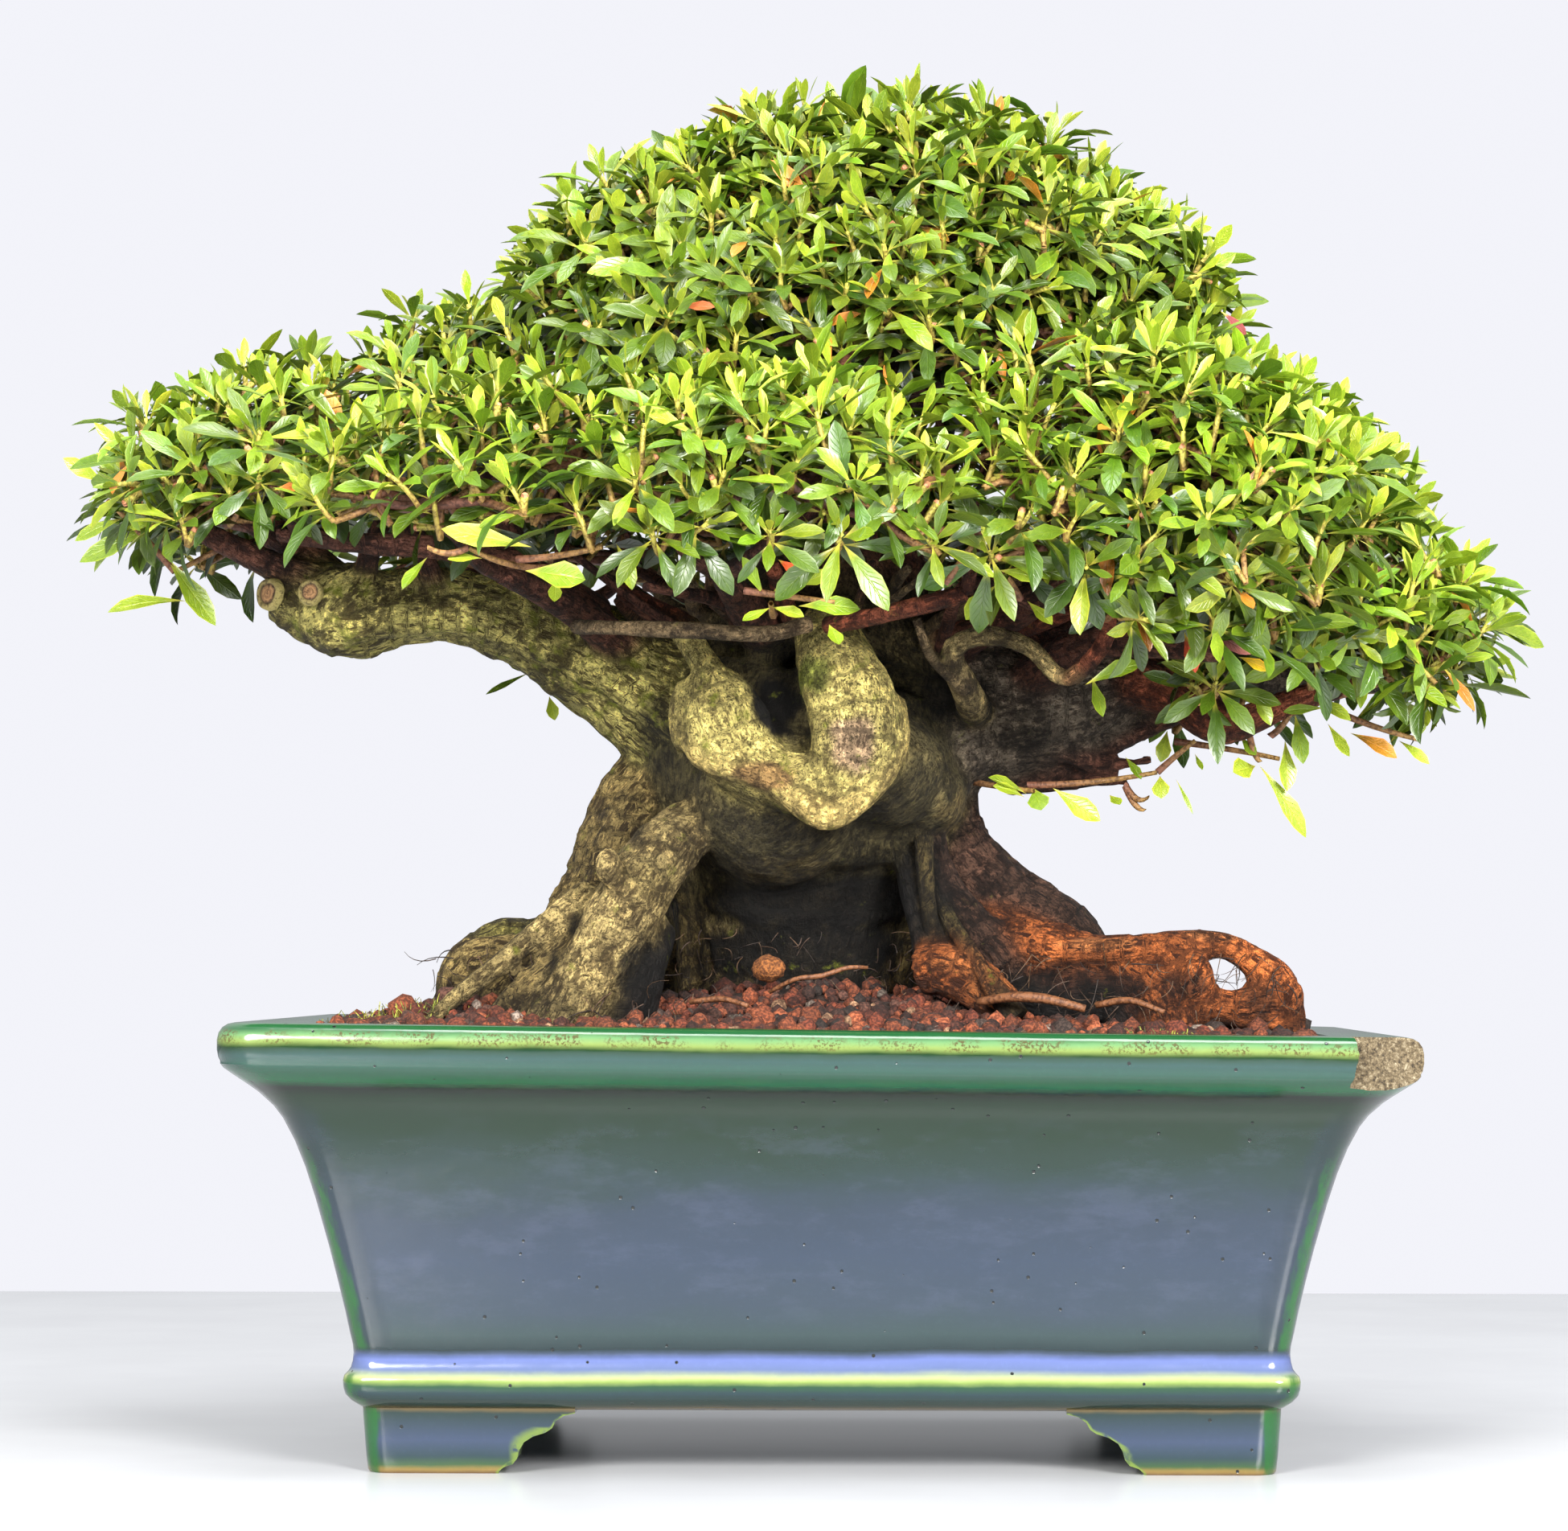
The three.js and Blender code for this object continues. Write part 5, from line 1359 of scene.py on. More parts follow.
def add_twigs(rng, pile, hub, tips, axes):
    """From the branch's end through forks to the foot of each shoot, the green shoots, and cut stubs."""
    count = len(tips)
    feet = tips - axes * rng.uniform(*SHOOT_LENGTH, (count, 1))
    forks = max(1, round(count / 5))
    chosen = [int(np.argmin(feet[:, 0]))]
    while len(chosen) < forks:
        gap = np.min([np.linalg.norm(feet - feet[c], axis=1) for c in chosen], axis=0)
        chosen.append(int(gap.argmax()))
    near = np.linalg.norm(feet[:, None] - feet[chosen][None], axis=2).argmin(axis=1)
    crotch = np.array([feet[near == j].mean(0) for j in range(forks)])
    crotch = hub + (crotch - hub) * 0.7
    span = np.linalg.norm(crotch - hub, axis=1)[:, None]
    middle = (crotch + hub) / 2 + rng.normal(0, 0.1, crotch.shape) * span - [0, 0, 1] * span * 0.06
    start = np.repeat(hub[None], forks, 0)
    add_stalks(pile, start, middle, crotch, (2.3, 1.5), (TWIG_BROWN, TWIG_RED), rings=6, sides=5)
    span = np.linalg.norm(feet - crotch[near], axis=1)[:, None]
    middle = (feet + crotch[near]) / 2 + rng.normal(0, 0.12, feet.shape) * span
    add_stalks(pile, crotch[near], middle, feet, (1.4, 1.0), (TWIG_RED, SHOOT_OLIVE))
    middle = (feet + tips) / 2 + rng.normal(0, 0.9, feet.shape)
    add_stalks(pile, feet, middle, tips, (1.0, 0.75), (SHOOT_OLIVE, SHOOT_GREEN), rings=5)
    cut = rng.uniform(size=count) < STUB_SHARE
    if cut.any():
        foot = tips[cut] - axes[cut] * rng.uniform(8, 13, (cut.sum(), 1))
        way = unit(axes[cut] + 0.55 * rng.normal(size=foot.shape))
        end = foot + way * rng.uniform(4, 8, (cut.sum(), 1))
        add_stalks(pile, foot, (foot + end) / 2, end, (1.25, 1.15), (SHOOT_OLIVE, SHOOT_GREEN), rings=2)
        add_stalks(pile, end, end + way * 0.5, end + way, (1.25, 0.9), (CUT_END, CUT_END * 0.9), rings=2)


# Leaves that stand clear of the mass: foot x, foot z, tip x, tip z, depth y and slimness.
LOOSE_LEAVES = [
    (64, 206, 53, 212, -25, 0.42), (63, 205, 55, 210, -27, 0.5), (66, 208, 68, 202, -25, 0.9),
    (72, 208, 86, 198, -25, 0.42), (90, 206, 93, 203, -20, 0.6), (95, 218, 100, 212, -20, 0.4),
    (106, 212, 106, 206, -20, 0.8), (111, 211, 116, 201, -20, 0.12), (117, 219, 119, 214, -20, 0.3),
    (136, 215, 129, 213, -22, 0.95), (131, 224, 135, 219, -25, 0.45), (137, 215, 153, 195, -25, 0.24),
    (145, 223, 146, 208, -25, 0.42), (148, 231, 150, 216, -28, 0.36), (158, 228, 164, 218, -30, 0.3),
    (133, 238, 139, 228, -45, 0.42), (156, 232, 144, 232, -45, 0.28), (77, 220, 72, 217, -10, 0.5),
    (83, 241, 86, 229, -60, 0.34), (95, 227, 98, 232, -5, 0.4), (109, 227, 107, 218, -8, 0.5),
    (80, 237, 95, 245, -84, 0.4), (53, 266, 44, 256, -104, 0.5), (62, 261, 69, 254, -104, 0.46),
    (102, 262, 109, 254, -108, 0.62), (85, 266, 92, 265, -106, 0.62), (89, 263, 98, 246, -100, 0.27),
    (178, 241, 191, 232, -60, 0.4), (-85, 276, -110, 281, -120, 0.3), (-87, 269, -70, 267, -120, 0.55),
    (-60, 277, -54, 265, -120, 0.42), (-100, 273, -109, 274, -116, 0.46), (-16, 261, -22, 272, -120, 0.34),
    (-14, 262, -7, 267, -120, 0.4), (-8, 264, 3, 268, -122, 0.4), (-6, 258, 11, 259, -124, 0.38),
    (-14, 258, -5, 256, -120, 0.42), (-14, 258, -22, 254, -120, 0.4), (3, 253, 6, 247, -120, 0.62),
    (32, 277, 52, 269, -122, 0.28), (-88, 286, -100, 284, -120, 0.3), (53, 269, 65, 267, -118, 0.4),
    (-107, 253, -100, 249, 40, 0.42), (-98, 249, -112, 242, 40, 0.2), (-92, 241, -90, 234, 40, 0.5),
    (-203, 268, -227, 269, -20, 0.3), (-213, 292, -236, 282, -20, 0.3), (-230, 306, -243, 314, -10, 0.34),
    (-209, 282, -193, 261, -25, 0.3), (-224, 295, -239, 290, -15, 0.34), (-149, 299, -149, 291, -100, 0.5),
    (-117, 274, -124, 265, -110, 0.42), (-79, 268, -79, 261, -105, 0.5), (152, 236, 163, 229, -45, 0.36),
    (178, 222, 186, 231, -22, 0.3), (181, 223, 190, 217, -22, 0.32), (168, 230, 176, 238, -24, 0.36),
]
# Coloured dying leaves, in the same way with a colour in place of the slimness, which is one for all.
FADED_SLIMNESS = 0.4
FADED_LEAVES = [
    (109, 252, 112, 240, -100, srgb(176, 70, 44)), (117, 252, 128, 246, -100, srgb(150, 92, 84)),
    (126, 245, 134, 242, -90, srgb(232, 190, 40)), (165, 225, 179, 219, -30, srgb(220, 150, 50)),
    (-166, 296, -154, 298, -92, srgb(214, 120, 50)), (-44, 354, -33, 353, -76, srgb(206, 112, 66)),
    (28, 380, 39, 376, -66, srgb(216, 160, 60)), (122, 352, 130, 346, -74, srgb(120, 44, 40)),
    (-12, 272, -6, 268, -122, srgb(222, 96, 50)),
]
# Twigs that stand clear: start x, y, z and end x, y, z.
LOOSE_TWIGS = [
    (64, -18, 209, 105, -20, 213), (105, -20, 213, 117, -20, 223), (111, -14, 223, 143, -25, 217),
    (158, -26, 233, 187, -24, 223), (95, -18, 209, 101, -20, 201), (95, -18, 209, 102, -22, 205),
    (155, -24, 236, 180, -30, 243), (-22, -116, 263, 5, -122, 259), (38, -112, 265, 46, -116, 277),
    (40, -6, 212, 66, -24, 207), (-14, -90, 258, -14, -120, 259), (-78, -96, 272, -104, -116, 276),
    (-104, -116, 276, -116, -118, 276), (-186, -20, 288, -206, -22, 277), (-206, -22, 277, -228, -20, 300),
    (-88, 40, 256, -100, 40, 250), (140, -26, 224, 148, -28, 234), (133, -24, 228, 137, -25, 216),
    (84, -80, 256, 92, -104, 264), (-90, -110, 273, -64, -118, 276), (60, -96, 262, 56, -104, 268),
]


def make_loose_shoots():
    """The single leaves and twigs that show clear of the mass."""
    pile = Pile()
    rows = [(*leaf, None) for leaf in LOOSE_LEAVES]
    rows += [(*leaf[:5], FADED_SLIMNESS, leaf[5]) for leaf in FADED_LEAVES]
    foot = np.array([(x, y + 3, z) for x, z, _, _, y, _, _ in rows], float)
    tip = np.array([(x, y - 2, z) for _, _, x, z, y, _, _ in rows], float)
    length = np.linalg.norm(tip - foot, axis=1)
    count = len(rows)
    step = np.arange(count)
    fresh = FULL_GREEN + (YOUNG_GREEN - FULL_GREEN) * (0.5 + 0.5 * np.sin(2.3 * step))[:, None]
    tint = np.array([green if leaf[6] is None else leaf[6] for leaf, green in zip(rows, fresh)])
    up = np.stack([0.3 * np.sin(1.7 * step), np.full(count, -0.75), 0.6 + 0.3 * np.cos(step)], axis=1)
    curl = 0.25 + 0.3 * np.sin(1.3 * step)
    fold = 0.25 + 0.15 * np.cos(2.1 * step)
    width = np.clip(length * [leaf[5] for leaf in rows], 1.5, 9.5)
    way = unit(tip - foot)
    points, faces, at, tint = leaves(foot, way, up, length * 1.05, width, fold, curl, tint)
    pile.add(points, faces, 0, leaf_at=at, leaf_tint=tint)
    start, end = np.split(np.array(LOOSE_TWIGS, float), 2, axis=1)
    middle = (start + end) / 2 + np.outer(3 * np.sin(np.arange(len(start))) - 2, [0, 0, 1])
    add_stalks(pile, start, middle, end, (1.3, 0.8), (TWIG_RED, SHOOT_OLIVE), rings=7, sides=6)
    shoots = pile.build("loose_shoots", [LEAF, SHOOT])
    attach(shoots, "root")


# ---------------------------------------------------------------- pot

# Inset from the rim's edge and height: under the floor, up the outside, and down the inside.
POT_UNDERSIDE = [(47, 24), (44.8, 20), (43.8, 19.2)]
POT_OUTSIDE = [
    (40.2, 19.2), (38.7, 20), (36.3, 21.8), (34.8, 23.6), (34.2, 25.6), (34, 27.8), (34.4, 29.4),
    (35.4, 30.4), (36.2, 31.6), (36.7, 33.6), (36.9, 36), (36.7, 38.4), (35.9, 42), (34.5, 49), (32.5, 58),
    (30.2, 67.7), (26.5, 81.8), (23.7, 91.2), (20.8, 99), (17.6, 105.6), (15.1, 109.2), (11.2, 113.1),
    (8.8, 115), (5.8, 117.2), (3.6, 118.8), (1.8, 120.2), (0.9, 121.4), (0.9, 122.2), (0.4, 123.2),
    (0, 125.4), (0, 128.2), (0.4, 130.2), (1.4, 131.8), (2.9, 132.8), (4.8, 133.2),
]
POT_INSIDE = [
    (6.6, 133.25), (22.4, 133.25), (23.8, 132.8), (24.6, 131.6), (25, 129.5), (25, 113), (29, 98),
    (36.5, 76), (41.5, 50), (46, 35), (49, 32),
]
POT_PROFILE = POT_UNDERSIDE + POT_OUTSIDE + POT_INSIDE
# The feet: usual inset, insets by height, thickness, and how far each runs from its corner.
FOOT_INSET = 41.0
FOOT_INSETS = [(41.4, 0.0), (41.0, 0.8), (40.5, 5.0), (39.6, 17.5), (39.2, 24.5)]
FOOT_THICKNESS = 12
FOOT_REACH = 40
# Half of the outline of the gap between two feet: how far in from the flat bottom's end, and height.
FOOT_GAP = [
    (0, -2), (0, 0.6), (-1.5, 1.9), (-4.2, 2.8), (-5.6, 4.6), (-6.2, 7), (-7.6, 9.4), (-10.4, 11.2),
    (-14, 12.3), (-16, 13.6), (-17.2, 15.8), (-19.6, 17.4), (-23, 18.2), (-23, 26),
]
# Long enough to cut through the pot from side to side.
THROUGH = 200
# How far the glaze is worn from a foot's cut edge.
WORN_WIDTH = 4.5
DRAIN_X, DRAIN_RADIUS, DRAIN_SIDES = 70, 11, 32
CORNER_STEPS = 10
SIDE_STEPS = 14
CHIP_MIDDLE = (181.5, -139.5, 131.0)
CHIP_SIZE = 44
CHIP_TURN = math.radians(14)
CHIP_LEAN = 0.22


def warp(x, z):
    """How far the pot's warp lifts a point."""
    share = np.clip((z - WARP_FROM) / (RIM_TOP - WARP_FROM), 0, 1)
    return -RIM_WARP * x * share / (2 * RIM_HALF_LENGTH)


def pot_ring(inset, z):
    """The points of a rounded rectangle, inset from the rim's edge."""
    radius = max(5, 12 - 0.12 * inset)
    half = np.array([RIM_HALF_LENGTH, RIM_HALF_DEPTH]) - inset - radius
    middles = np.array([[1, 1], [-1, 1], [-1, -1], [1, -1]]) * half
    points = []
    for k in range(4):
        angle = (k + np.arange(CORNER_STEPS + 1) / CORNER_STEPS) * math.pi / 2
        arc = middles[k] + radius * np.column_stack([np.cos(angle), np.sin(angle)])
        start = middles[(k + 1) % 4] + radius * np.array([math.cos(angle[-1]), math.sin(angle[-1])])
        share = 0.5 - 0.5 * np.cos(np.pi * np.arange(1, SIDE_STEPS) / SIDE_STEPS)
        points += [arc, arc[-1] + (start - arc[-1]) * share[:, None]]
    points = np.concatenate(points)
    return np.column_stack([points, z + warp(points[:, 0], z)])


def loft(rings):
    """A closed solid's points and faces through rings of the same count."""
    grid = numbered(len(rings), len(rings[0]))
    return np.concatenate(rings), [faces_between(grid), grid[:1, ::-1], grid[-1:]]


def prism(outline, low, high, turned=False):
    """A closed prism along Y (along X when turned) of an outline of (distance, height)."""
    ends = [np.column_stack([outline[:, 0], np.full(len(outline), y), outline[:, 1]]) for y in (low, high)]
    points, faces = loft(ends)
    if turned:
        points = points[:, [1, 0, 2]]
    return points, faces


def carve(solid, cutters, operation="DIFFERENCE"):
    """The solid with the cutters taken away (or joined); the cutters are removed."""
    for cutter in cutters:
        modifier = solid.modifiers.new("cut", "BOOLEAN")
        modifier.operation = operation
        modifier.solver = "EXACT"
        modifier.object = cutter
        if operation == "DIFFERENCE":
            modifier.material_mode = "TRANSFER"
    evaluated = solid.evaluated_get(bpy.context.evaluated_depsgraph_get())
    mesh = bpy.data.meshes.new_from_object(evaluated)
    solid.modifiers.clear()
    solid.data = mesh
    for cutter in cutters:
        bpy.data.objects.remove(cutter)


def solid_object(name, shape, material):
    """A closed flat-shaded solid whose faces look out."""
    obj = mesh_object(name, *shape, [material], smooth=False)
    bm = bmesh.new()
    bm.from_mesh(obj.data)
    bmesh.ops.recalc_face_normals(bm, faces=bm.faces)
    bm.to_mesh(obj.data)
    bm.free()
    return obj


def chip_cutter():
    """A rough block where the rim's front right corner broke off."""
    bm = bmesh.new()
    bmesh.ops.create_cube(bm, size=1.0)
    bmesh.ops.subdivide_edges(bm, edges=bm.edges[:], cuts=23, use_grid_fill=True)
    points, faces = points_and_faces(bm)
    cos, sin = math.cos(CHIP_TURN), math.sin(CHIP_TURN)
    spin = np.array([[cos, -sin, 0], [sin, cos, 0], [0, 0, 1]])
    lean = np.array([[1, 0, 0], [0, 1, CHIP_LEAN], [0, 0, 1]])
    p = points * CHIP_SIZE @ lean.T @ spin.T + np.array(CHIP_MIDDLE)
    rough = 1.3 * noise(p, 6, 7) + 0.8 * noise(p, 2.6, 8) + 0.5 * noise(p, 1.3, 9)
    return p + unit(p - p.mean(0)) * rough[:, None], [faces]


def glaze_marks(p):
    """Height without the rim's warp, distance from a corner's edge, and nearness to a foot's cut edge."""
    height = p[:, 2] - warp(p[:, 0], p[:, 2])
    outside = np.array(POT_OUTSIDE)
    inset = np.where(height < FOOT_HEIGHT, FOOT_INSET, np.interp(height, outside[:, 1], outside[:, 0]))
    beside_x = RIM_HALF_LENGTH - inset - np.abs(p[:, 0])
    beside_y = RIM_HALF_DEPTH - inset - np.abs(p[:, 1])
    gap = np.array(FOOT_GAP[1:-1])
    reach = np.interp(p[:, 2], gap[:, 1], gap[:, 0])
    along_x = RIM_HALF_LENGTH - FOOT_INSET - FOOT_REACH + reach
    along_y = RIM_HALF_DEPTH - FOOT_INSET - FOOT_REACH + reach
    from_gap = np.where(beside_y < beside_x, np.abs(p[:, 0]) - along_x, np.abs(p[:, 1]) - along_y)
    edge = np.where(p[:, 2] < FOOT_HEIGHT - 0.6, 1 - np.clip(from_gap / WORN_WIDTH, 0, 1), 0)
    return np.column_stack([height, np.maximum(beside_x, beside_y), edge])


def pot_shell():
    """The wall and floor, with the drain holes and the broken corner."""
    shell = solid_object("pot_body", loft([pot_ring(inset, z) for inset, z in POT_PROFILE]), GLAZE)
    cutters = [solid_object("chip", chip_cutter(), CLAY)]
    hole = DRAIN_RADIUS * np.column_stack(circle(DRAIN_SIDES))
    for x in (-DRAIN_X, DRAIN_X):
        rings = [np.column_stack([hole + [x, 0], np.full(DRAIN_SIDES, z)]) for z in (10.0, 45.0)]
        cutters.append(solid_object("drain", loft(rings), GLAZE))
    carve(shell, cutters)
    return shell


def pot_feet():
    """A ring under the floor, cut into four feet."""
    feet = solid_object("pot_feet", loft([pot_ring(inset, z) for inset, z in FOOT_INSETS]), GLAZE)
    ends = ((FOOT_INSETS[0][0], -2), (FOOT_INSETS[-1][0], 26))
    inside = [pot_ring(inset + FOOT_THICKNESS, z) for inset, z in ends]
    cutters = [solid_object("inside", loft(inside), GLAZE)]
    for half, turned in ((RIM_HALF_LENGTH, False), (RIM_HALF_DEPTH, True)):
        side = np.array(FOOT_GAP) + [half - FOOT_INSET - FOOT_REACH, 0]
        outline = np.concatenate([side, (side * [-1, 1])[::-1]])
        cutters.append(solid_object("gap", prism(outline, -THROUGH, THROUGH, turned), GLAZE))
    carve(feet, cutters)
    return feet


def make_pot():
    """The glazed pot, with soft edges only where its faces meet at a small angle."""
    body, feet = pot_shell(), pot_feet()
    for part in (body, feet):
        part.data.set_sharp_from_angle(angle=math.radians(35))
    carve(body, [feet], "UNION")
    mesh = body.data
    set_attribute(mesh, "glaze_at", glaze_marks(read_points(mesh)))
    set_shading(mesh)
    mesh.set_sharp_from_angle(angle=math.radians(38))
    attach(body, "root")
    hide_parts("pot")


def dress_drain_meshes():
    """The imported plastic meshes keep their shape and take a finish."""
    for name in ("drain_mesh_left", "drain_mesh_right"):
        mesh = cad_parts[name].data
        mesh.materials.clear()
        mesh.materials.append(MESH_PLASTIC)


# ---------------------------------------------------------------- soil

SOIL_BELOW_RIM = 3.6
SOIL_MOUND = 12.0
# The bed: inset of its edge from the rim's, height of its underside, and how many rings make its top.
BED_INSET, BED_BOTTOM, BED_RINGS = 25.4, 112.0, 56
BED_TINT = srgb(66, 44, 34)
# Clay granules: their usual size, inset of the field from the rim's edge, tints and how often each comes.
GRAIN_SIZE = 3.6
GRAIN_INSET = 27.5
GRAIN_TINTS = np.array([
    srgb(136, 66, 42), srgb(160, 84, 50), srgb(96, 52, 38), srgb(190, 104, 66), srgb(116, 76, 62),
    srgb(84, 66, 58), srgb(170, 152, 138), srgb(206, 160, 122),
])
GRAIN_ODDS = np.array([0.26, 0.2, 0.2, 0.11, 0.09, 0.08, 0.03, 0.03])
# Sets of granules: how finely they are cut, and how many. Those of the fine level lie near the front.
GRAIN_SETS = ((2, 1000), (1, 2900))
FINE_LEVEL = 2
FRONT_STRIP = 58
# Large clay lumps in the hollow under the trunk: x, y, z and radius.
LUMPS = np.array([(-17, -40, 151, 4.6)])
LUMP_LEVEL = 3
LUMP_TINT = srgb(150, 92, 44)
# Tufts of moss and fine grass: middle, half-sizes, how many blades, and their length.
TUFTS = [
    ((101, -95), (12, 5), 110, 4.5), ((-127, -58), (15, 8), 150, 6.5), ((-150, -50), (8, 8), 50, 4),
]
MOSS_TINTS = np.array([srgb(120, 128, 44), srgb(164, 166, 62), srgb(84, 84, 40)])


def soil_height(x, y):
    """The soil's surface: a mound round the trunk, with a hump under the belly and humus at the left."""
    edge = RIM_TOP + warp(x, RIM_TOP) - SOIL_BELOW_RIM
    mound = SOIL_MOUND * np.exp(-(((x + 5) / 112) ** 2) - ((y - 5) / 78) ** 2)
    hump = 5 * np.exp(-((x / 45) ** 2) - ((y + 30) / 28) ** 2)
    humus = 6 * np.exp(-(((x + 116) / 22) ** 2) - ((y + 40) / 26) ** 2)
    flat = np.column_stack([x, y, np.zeros(len(x))])
    return edge + mound + hump + humus + 0.9 * noise(flat, 30, 21) + 0.6 * noise(flat, 12, 22)


def on_soil(flat, lift=0.0):
    """Points on the soil, or over it by a lift, from places in plan."""
    return np.column_stack([flat, soil_height(flat[:, 0], flat[:, 1]) + lift])


def granules(rng, at, size, levels):
    """Lumpy stones: points and faces."""
    ball, ball_faces = icosphere(levels)
    count = len(at)
    shape = ball[None] * rng.uniform(0.75, 1.25, (count, 1, 3)) * size[:, None, None]
    lumpy = 1 + 0.2 * noise((shape + at[:, None] * 3).reshape(-1, 3), 1.5, 5).reshape(count, -1)
    x, y, z = np.moveaxis(shape * lumpy[..., None], -1, 0)
    turn = rng.uniform(0, 2 * np.pi, count)
    cos, sin = np.cos(turn)[:, None], np.sin(turn)[:, None]
    spun = np.stack([x * cos - y * sin, x * sin + y * cos, z], axis=-1)
    return (spun + at[:, None]).reshape(-1, 3), [copies(ball_faces, count, len(ball))]


def soil_bed():
    """Points and faces of the bed under the granules."""
    outline = pot_ring(BED_INSET, 0)[:, :2]
    rings = [np.column_stack([outline, np.full(len(outline), BED_BOTTOM)])]
    rings += [on_soil(outline * share) for share in 1 - np.linspace(0, 1, BED_RINGS)[:-1] ** 1.15]
    return loft(rings)


def make_soil():
    """The bed and its clay granules, finely cut near the front and plainer elsewhere."""
    rng = np.random.default_rng(31)
    pile = Pile()
    points, faces = soil_bed()
    shade = np.clip(0.55 + 0.25 * noise(points, 6, 3), 0.2, 1)[:, None]
    pile.add(points, faces, grain_tint=with_alpha(BED_TINT * shade))
    half = np.array([RIM_HALF_LENGTH, RIM_HALF_DEPTH]) - GRAIN_INSET
    for level, count in GRAIN_SETS:
        x = rng.uniform(-half[0], half[0], count)
        y = rng.uniform(-half[1], half[1], count)
        if level == FINE_LEVEL:
            y = -half[1] + FRONT_STRIP * rng.uniform(0, 1, count) ** 1.4
        size = GRAIN_SIZE * 0.5 * rng.lognormal(0, 0.28, count)
        at = on_soil(np.column_stack([x, y]), size * rng.uniform(0.0, 0.7, count))
        points, faces = granules(rng, at, size, level)
        tint = GRAIN_TINTS[rng.choice(len(GRAIN_TINTS), count, p=GRAIN_ODDS)]
        tint = tint * rng.uniform(0.22, 0.85, (count, 1))
        pile.add(points, faces, grain_tint=spread_over(points, tint))
    points, faces = granules(rng, LUMPS[:, :3], LUMPS[:, 3], LUMP_LEVEL)
    pile.add(points, faces, grain_tint=spread_over(points, LUMP_TINT[None]))
    soil = pile.build("soil_granules", [GRANULE])
    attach(soil, "root")
    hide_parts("soil")


def make_moss():
    """Tufts of moss and fine grass on the soil."""
    rng = np.random.default_rng(77)
    pile = Pile()
    for middle, half, count, length in TUFTS:
        start = on_soil(np.array(middle) + rng.normal(0, 0.5, (count, 2)) * half, -0.5)
        way = unit(rng.normal(0, 0.5, (count, 3)) + [0, 0, 1.0])
        end = start + way * (length * rng.uniform(0.5, 1.2, count))[:, None]
        bow = (start + end) / 2 + rng.normal(0, 0.14 * length, (count, 3))
        thick, thin = np.full(count, 0.35), np.full(count, 0.12)
        points, faces, _ = strands(start, bow, end, thick, thin, rings=4, sides=3)
        pile.add(points, faces, leaf_tint=spread_over(points, picked(rng, MOSS_TINTS, count)))
    moss = pile.build("moss_tufts", [SHOOT])
    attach(moss, "root")


# ---------------------------------------------------------------- stage

CAMERA_DISTANCE = 1500.0
CAMERA_HEIGHT = 152.2
CAMERA_TURN = math.radians(1.5)
CAMERA_ASIDE = -13.3
CAMERA_PITCH = math.radians(2.44)
FOCAL_PIXELS = 5830.0
FRAME_PIXELS = 1950.0
SENSOR = 36.0
TABLE_REACH, TABLE_BACK = 2500.0, 690.0


def make_camera():
    """The camera where the photographer's stood, level with the soil and tilted up a little."""
    right = Vector((math.cos(CAMERA_TURN), math.sin(CAMERA_TURN), 0))
    level = Vector((-math.sin(CAMERA_TURN), math.cos(CAMERA_TURN), 0))
    forward = level * math.cos(CAMERA_PITCH) + Vector((0, 0, math.sin(CAMERA_PITCH)))
    up = right.cross(forward)
    place = right * CAMERA_ASIDE - level * CAMERA_DISTANCE + Vector((0, 0, CAMERA_HEIGHT))
    camera = bpy.data.objects.new("camera", bpy.data.cameras.new("camera"))
    turned = Matrix((right, up, -forward)).transposed().to_4x4()
    camera.matrix_world = Matrix.Translation(Vector(row(place))) @ turned
    camera.data.lens = FOCAL_PIXELS / FRAME_PIXELS * SENSOR
    camera.data.sensor_width = SENSOR
    camera.data.clip_start, camera.data.clip_end = 0.05, 30
    bpy.context.scene.collection.objects.link(camera)
    bpy.context.scene.camera = camera


def area_light(name, place, target, size, watts, colour=(1, 1, 1)):
    """A round lamp that faces its target; places and sizes in metres."""
    light = bpy.data.lights.new(name, "AREA")
    light.shape = "DISK"
    light.size = size
    light.energy = watts
    light.color = colour
    lamp = bpy.data.objects.new(name, light)
    lamp.location = place
    lamp.rotation_euler = (Vector(target) - Vector(place)).to_track_quat("-Z", "Y").to_euler()
    bpy.context.scene.collection.objects.link(lamp)


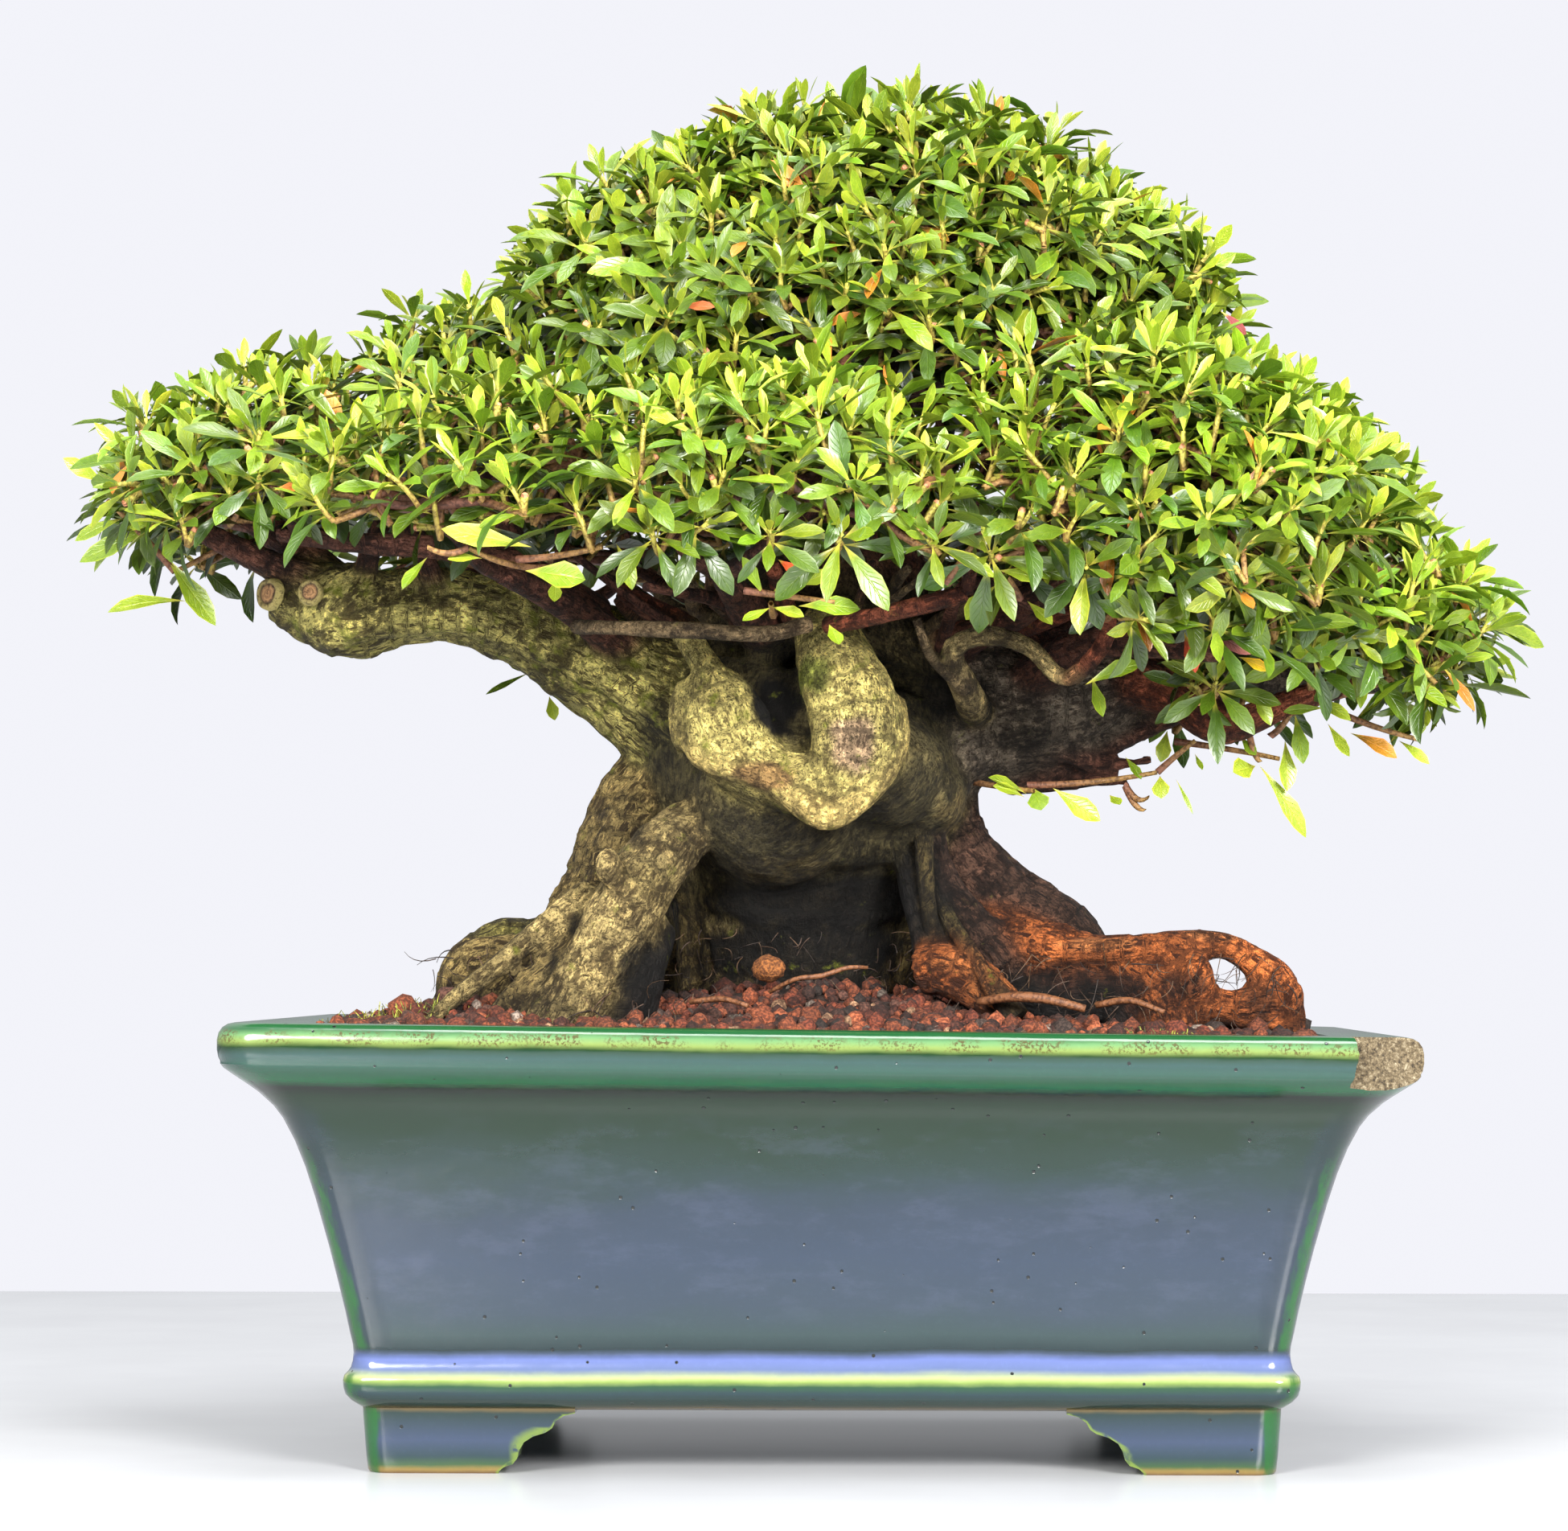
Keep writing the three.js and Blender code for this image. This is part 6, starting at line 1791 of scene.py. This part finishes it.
def make_world():
    """A white room that is bright above and dim at the horizon, seen as plain white."""
    world = bpy.data.worlds.new("studio")
    world.use_nodes = True
    tree = world.node_tree
    nodes, link = tree.nodes, tree.links.new
    seen = nodes["Background"]
    seen.inputs[0].default_value = (0.895, 0.9, 0.955, 1)
    room = nodes.new("ShaderNodeBackground")
    way = nodes.new("ShaderNodeSeparateXYZ")
    link(nodes.new("ShaderNodeTexCoord").outputs["Generated"], way.inputs[0])
    ramp = nodes.new("ShaderNodeValToRGB")
    link(way.outputs[2], ramp.inputs[0])
    dim, bright = ramp.color_ramp.elements
    dim.position, dim.color = 0.0, (0.3, 0.31, 0.33, 1)
    bright.position, bright.color = 0.8, (1.0, 1.0, 1.0, 1)
    link(ramp.outputs[0], room.inputs[0])
    room.inputs[1].default_value = 1.15
    choose = nodes.new("ShaderNodeMixShader")
    link(nodes.new("ShaderNodeLightPath").outputs["Is Camera Ray"], choose.inputs[0])
    link(room.outputs[0], choose.inputs[1])
    link(seen.outputs[0], choose.inputs[2])
    link(choose.outputs[0], nodes["World Output"].inputs[0])
    bpy.context.scene.world = world


def make_stage():
    """The table, the room and the lamps."""
    left, right = -TABLE_REACH, TABLE_REACH
    corners = [[left, left, 0], [right, left, 0], [right, TABLE_BACK, 0], [left, TABLE_BACK, 0]]
    top = plain_material("table_top", (0.56, 0.57, 0.6), 0.22, 90, 0.03)
    floor = mesh_object("table", corners, [np.array([[0, 1, 2, 3]])], [top])
    make_world()
    area_light("key", (-0.65, -1.5, 0.85), (0, 0, 0.24), 0.7, 44, (1, 0.98, 0.93))
    area_light("front", (0.75, -1.5, 0.75), (0.05, 0, 0.22), 0.6, 54, (1, 0.98, 0.95))
    area_light("top", (0.1, -0.3, 1.7), (0, 0, 0.25), 0.8, 22)
    view = bpy.context.scene.view_settings
    view.view_transform = "Standard"
    view.look = "None"


# ---------------------------------------------------------------- build

branch_ends = spray_hubs()
make_camera()
make_stage()
make_trunk([*branches_to(branch_ends.values()), *tangle()])
make_scars()
make_hair_roots()
make_foliage(branch_ends)
make_loose_shoots()
make_pot()
dress_drain_meshes()
make_soil()
make_moss()
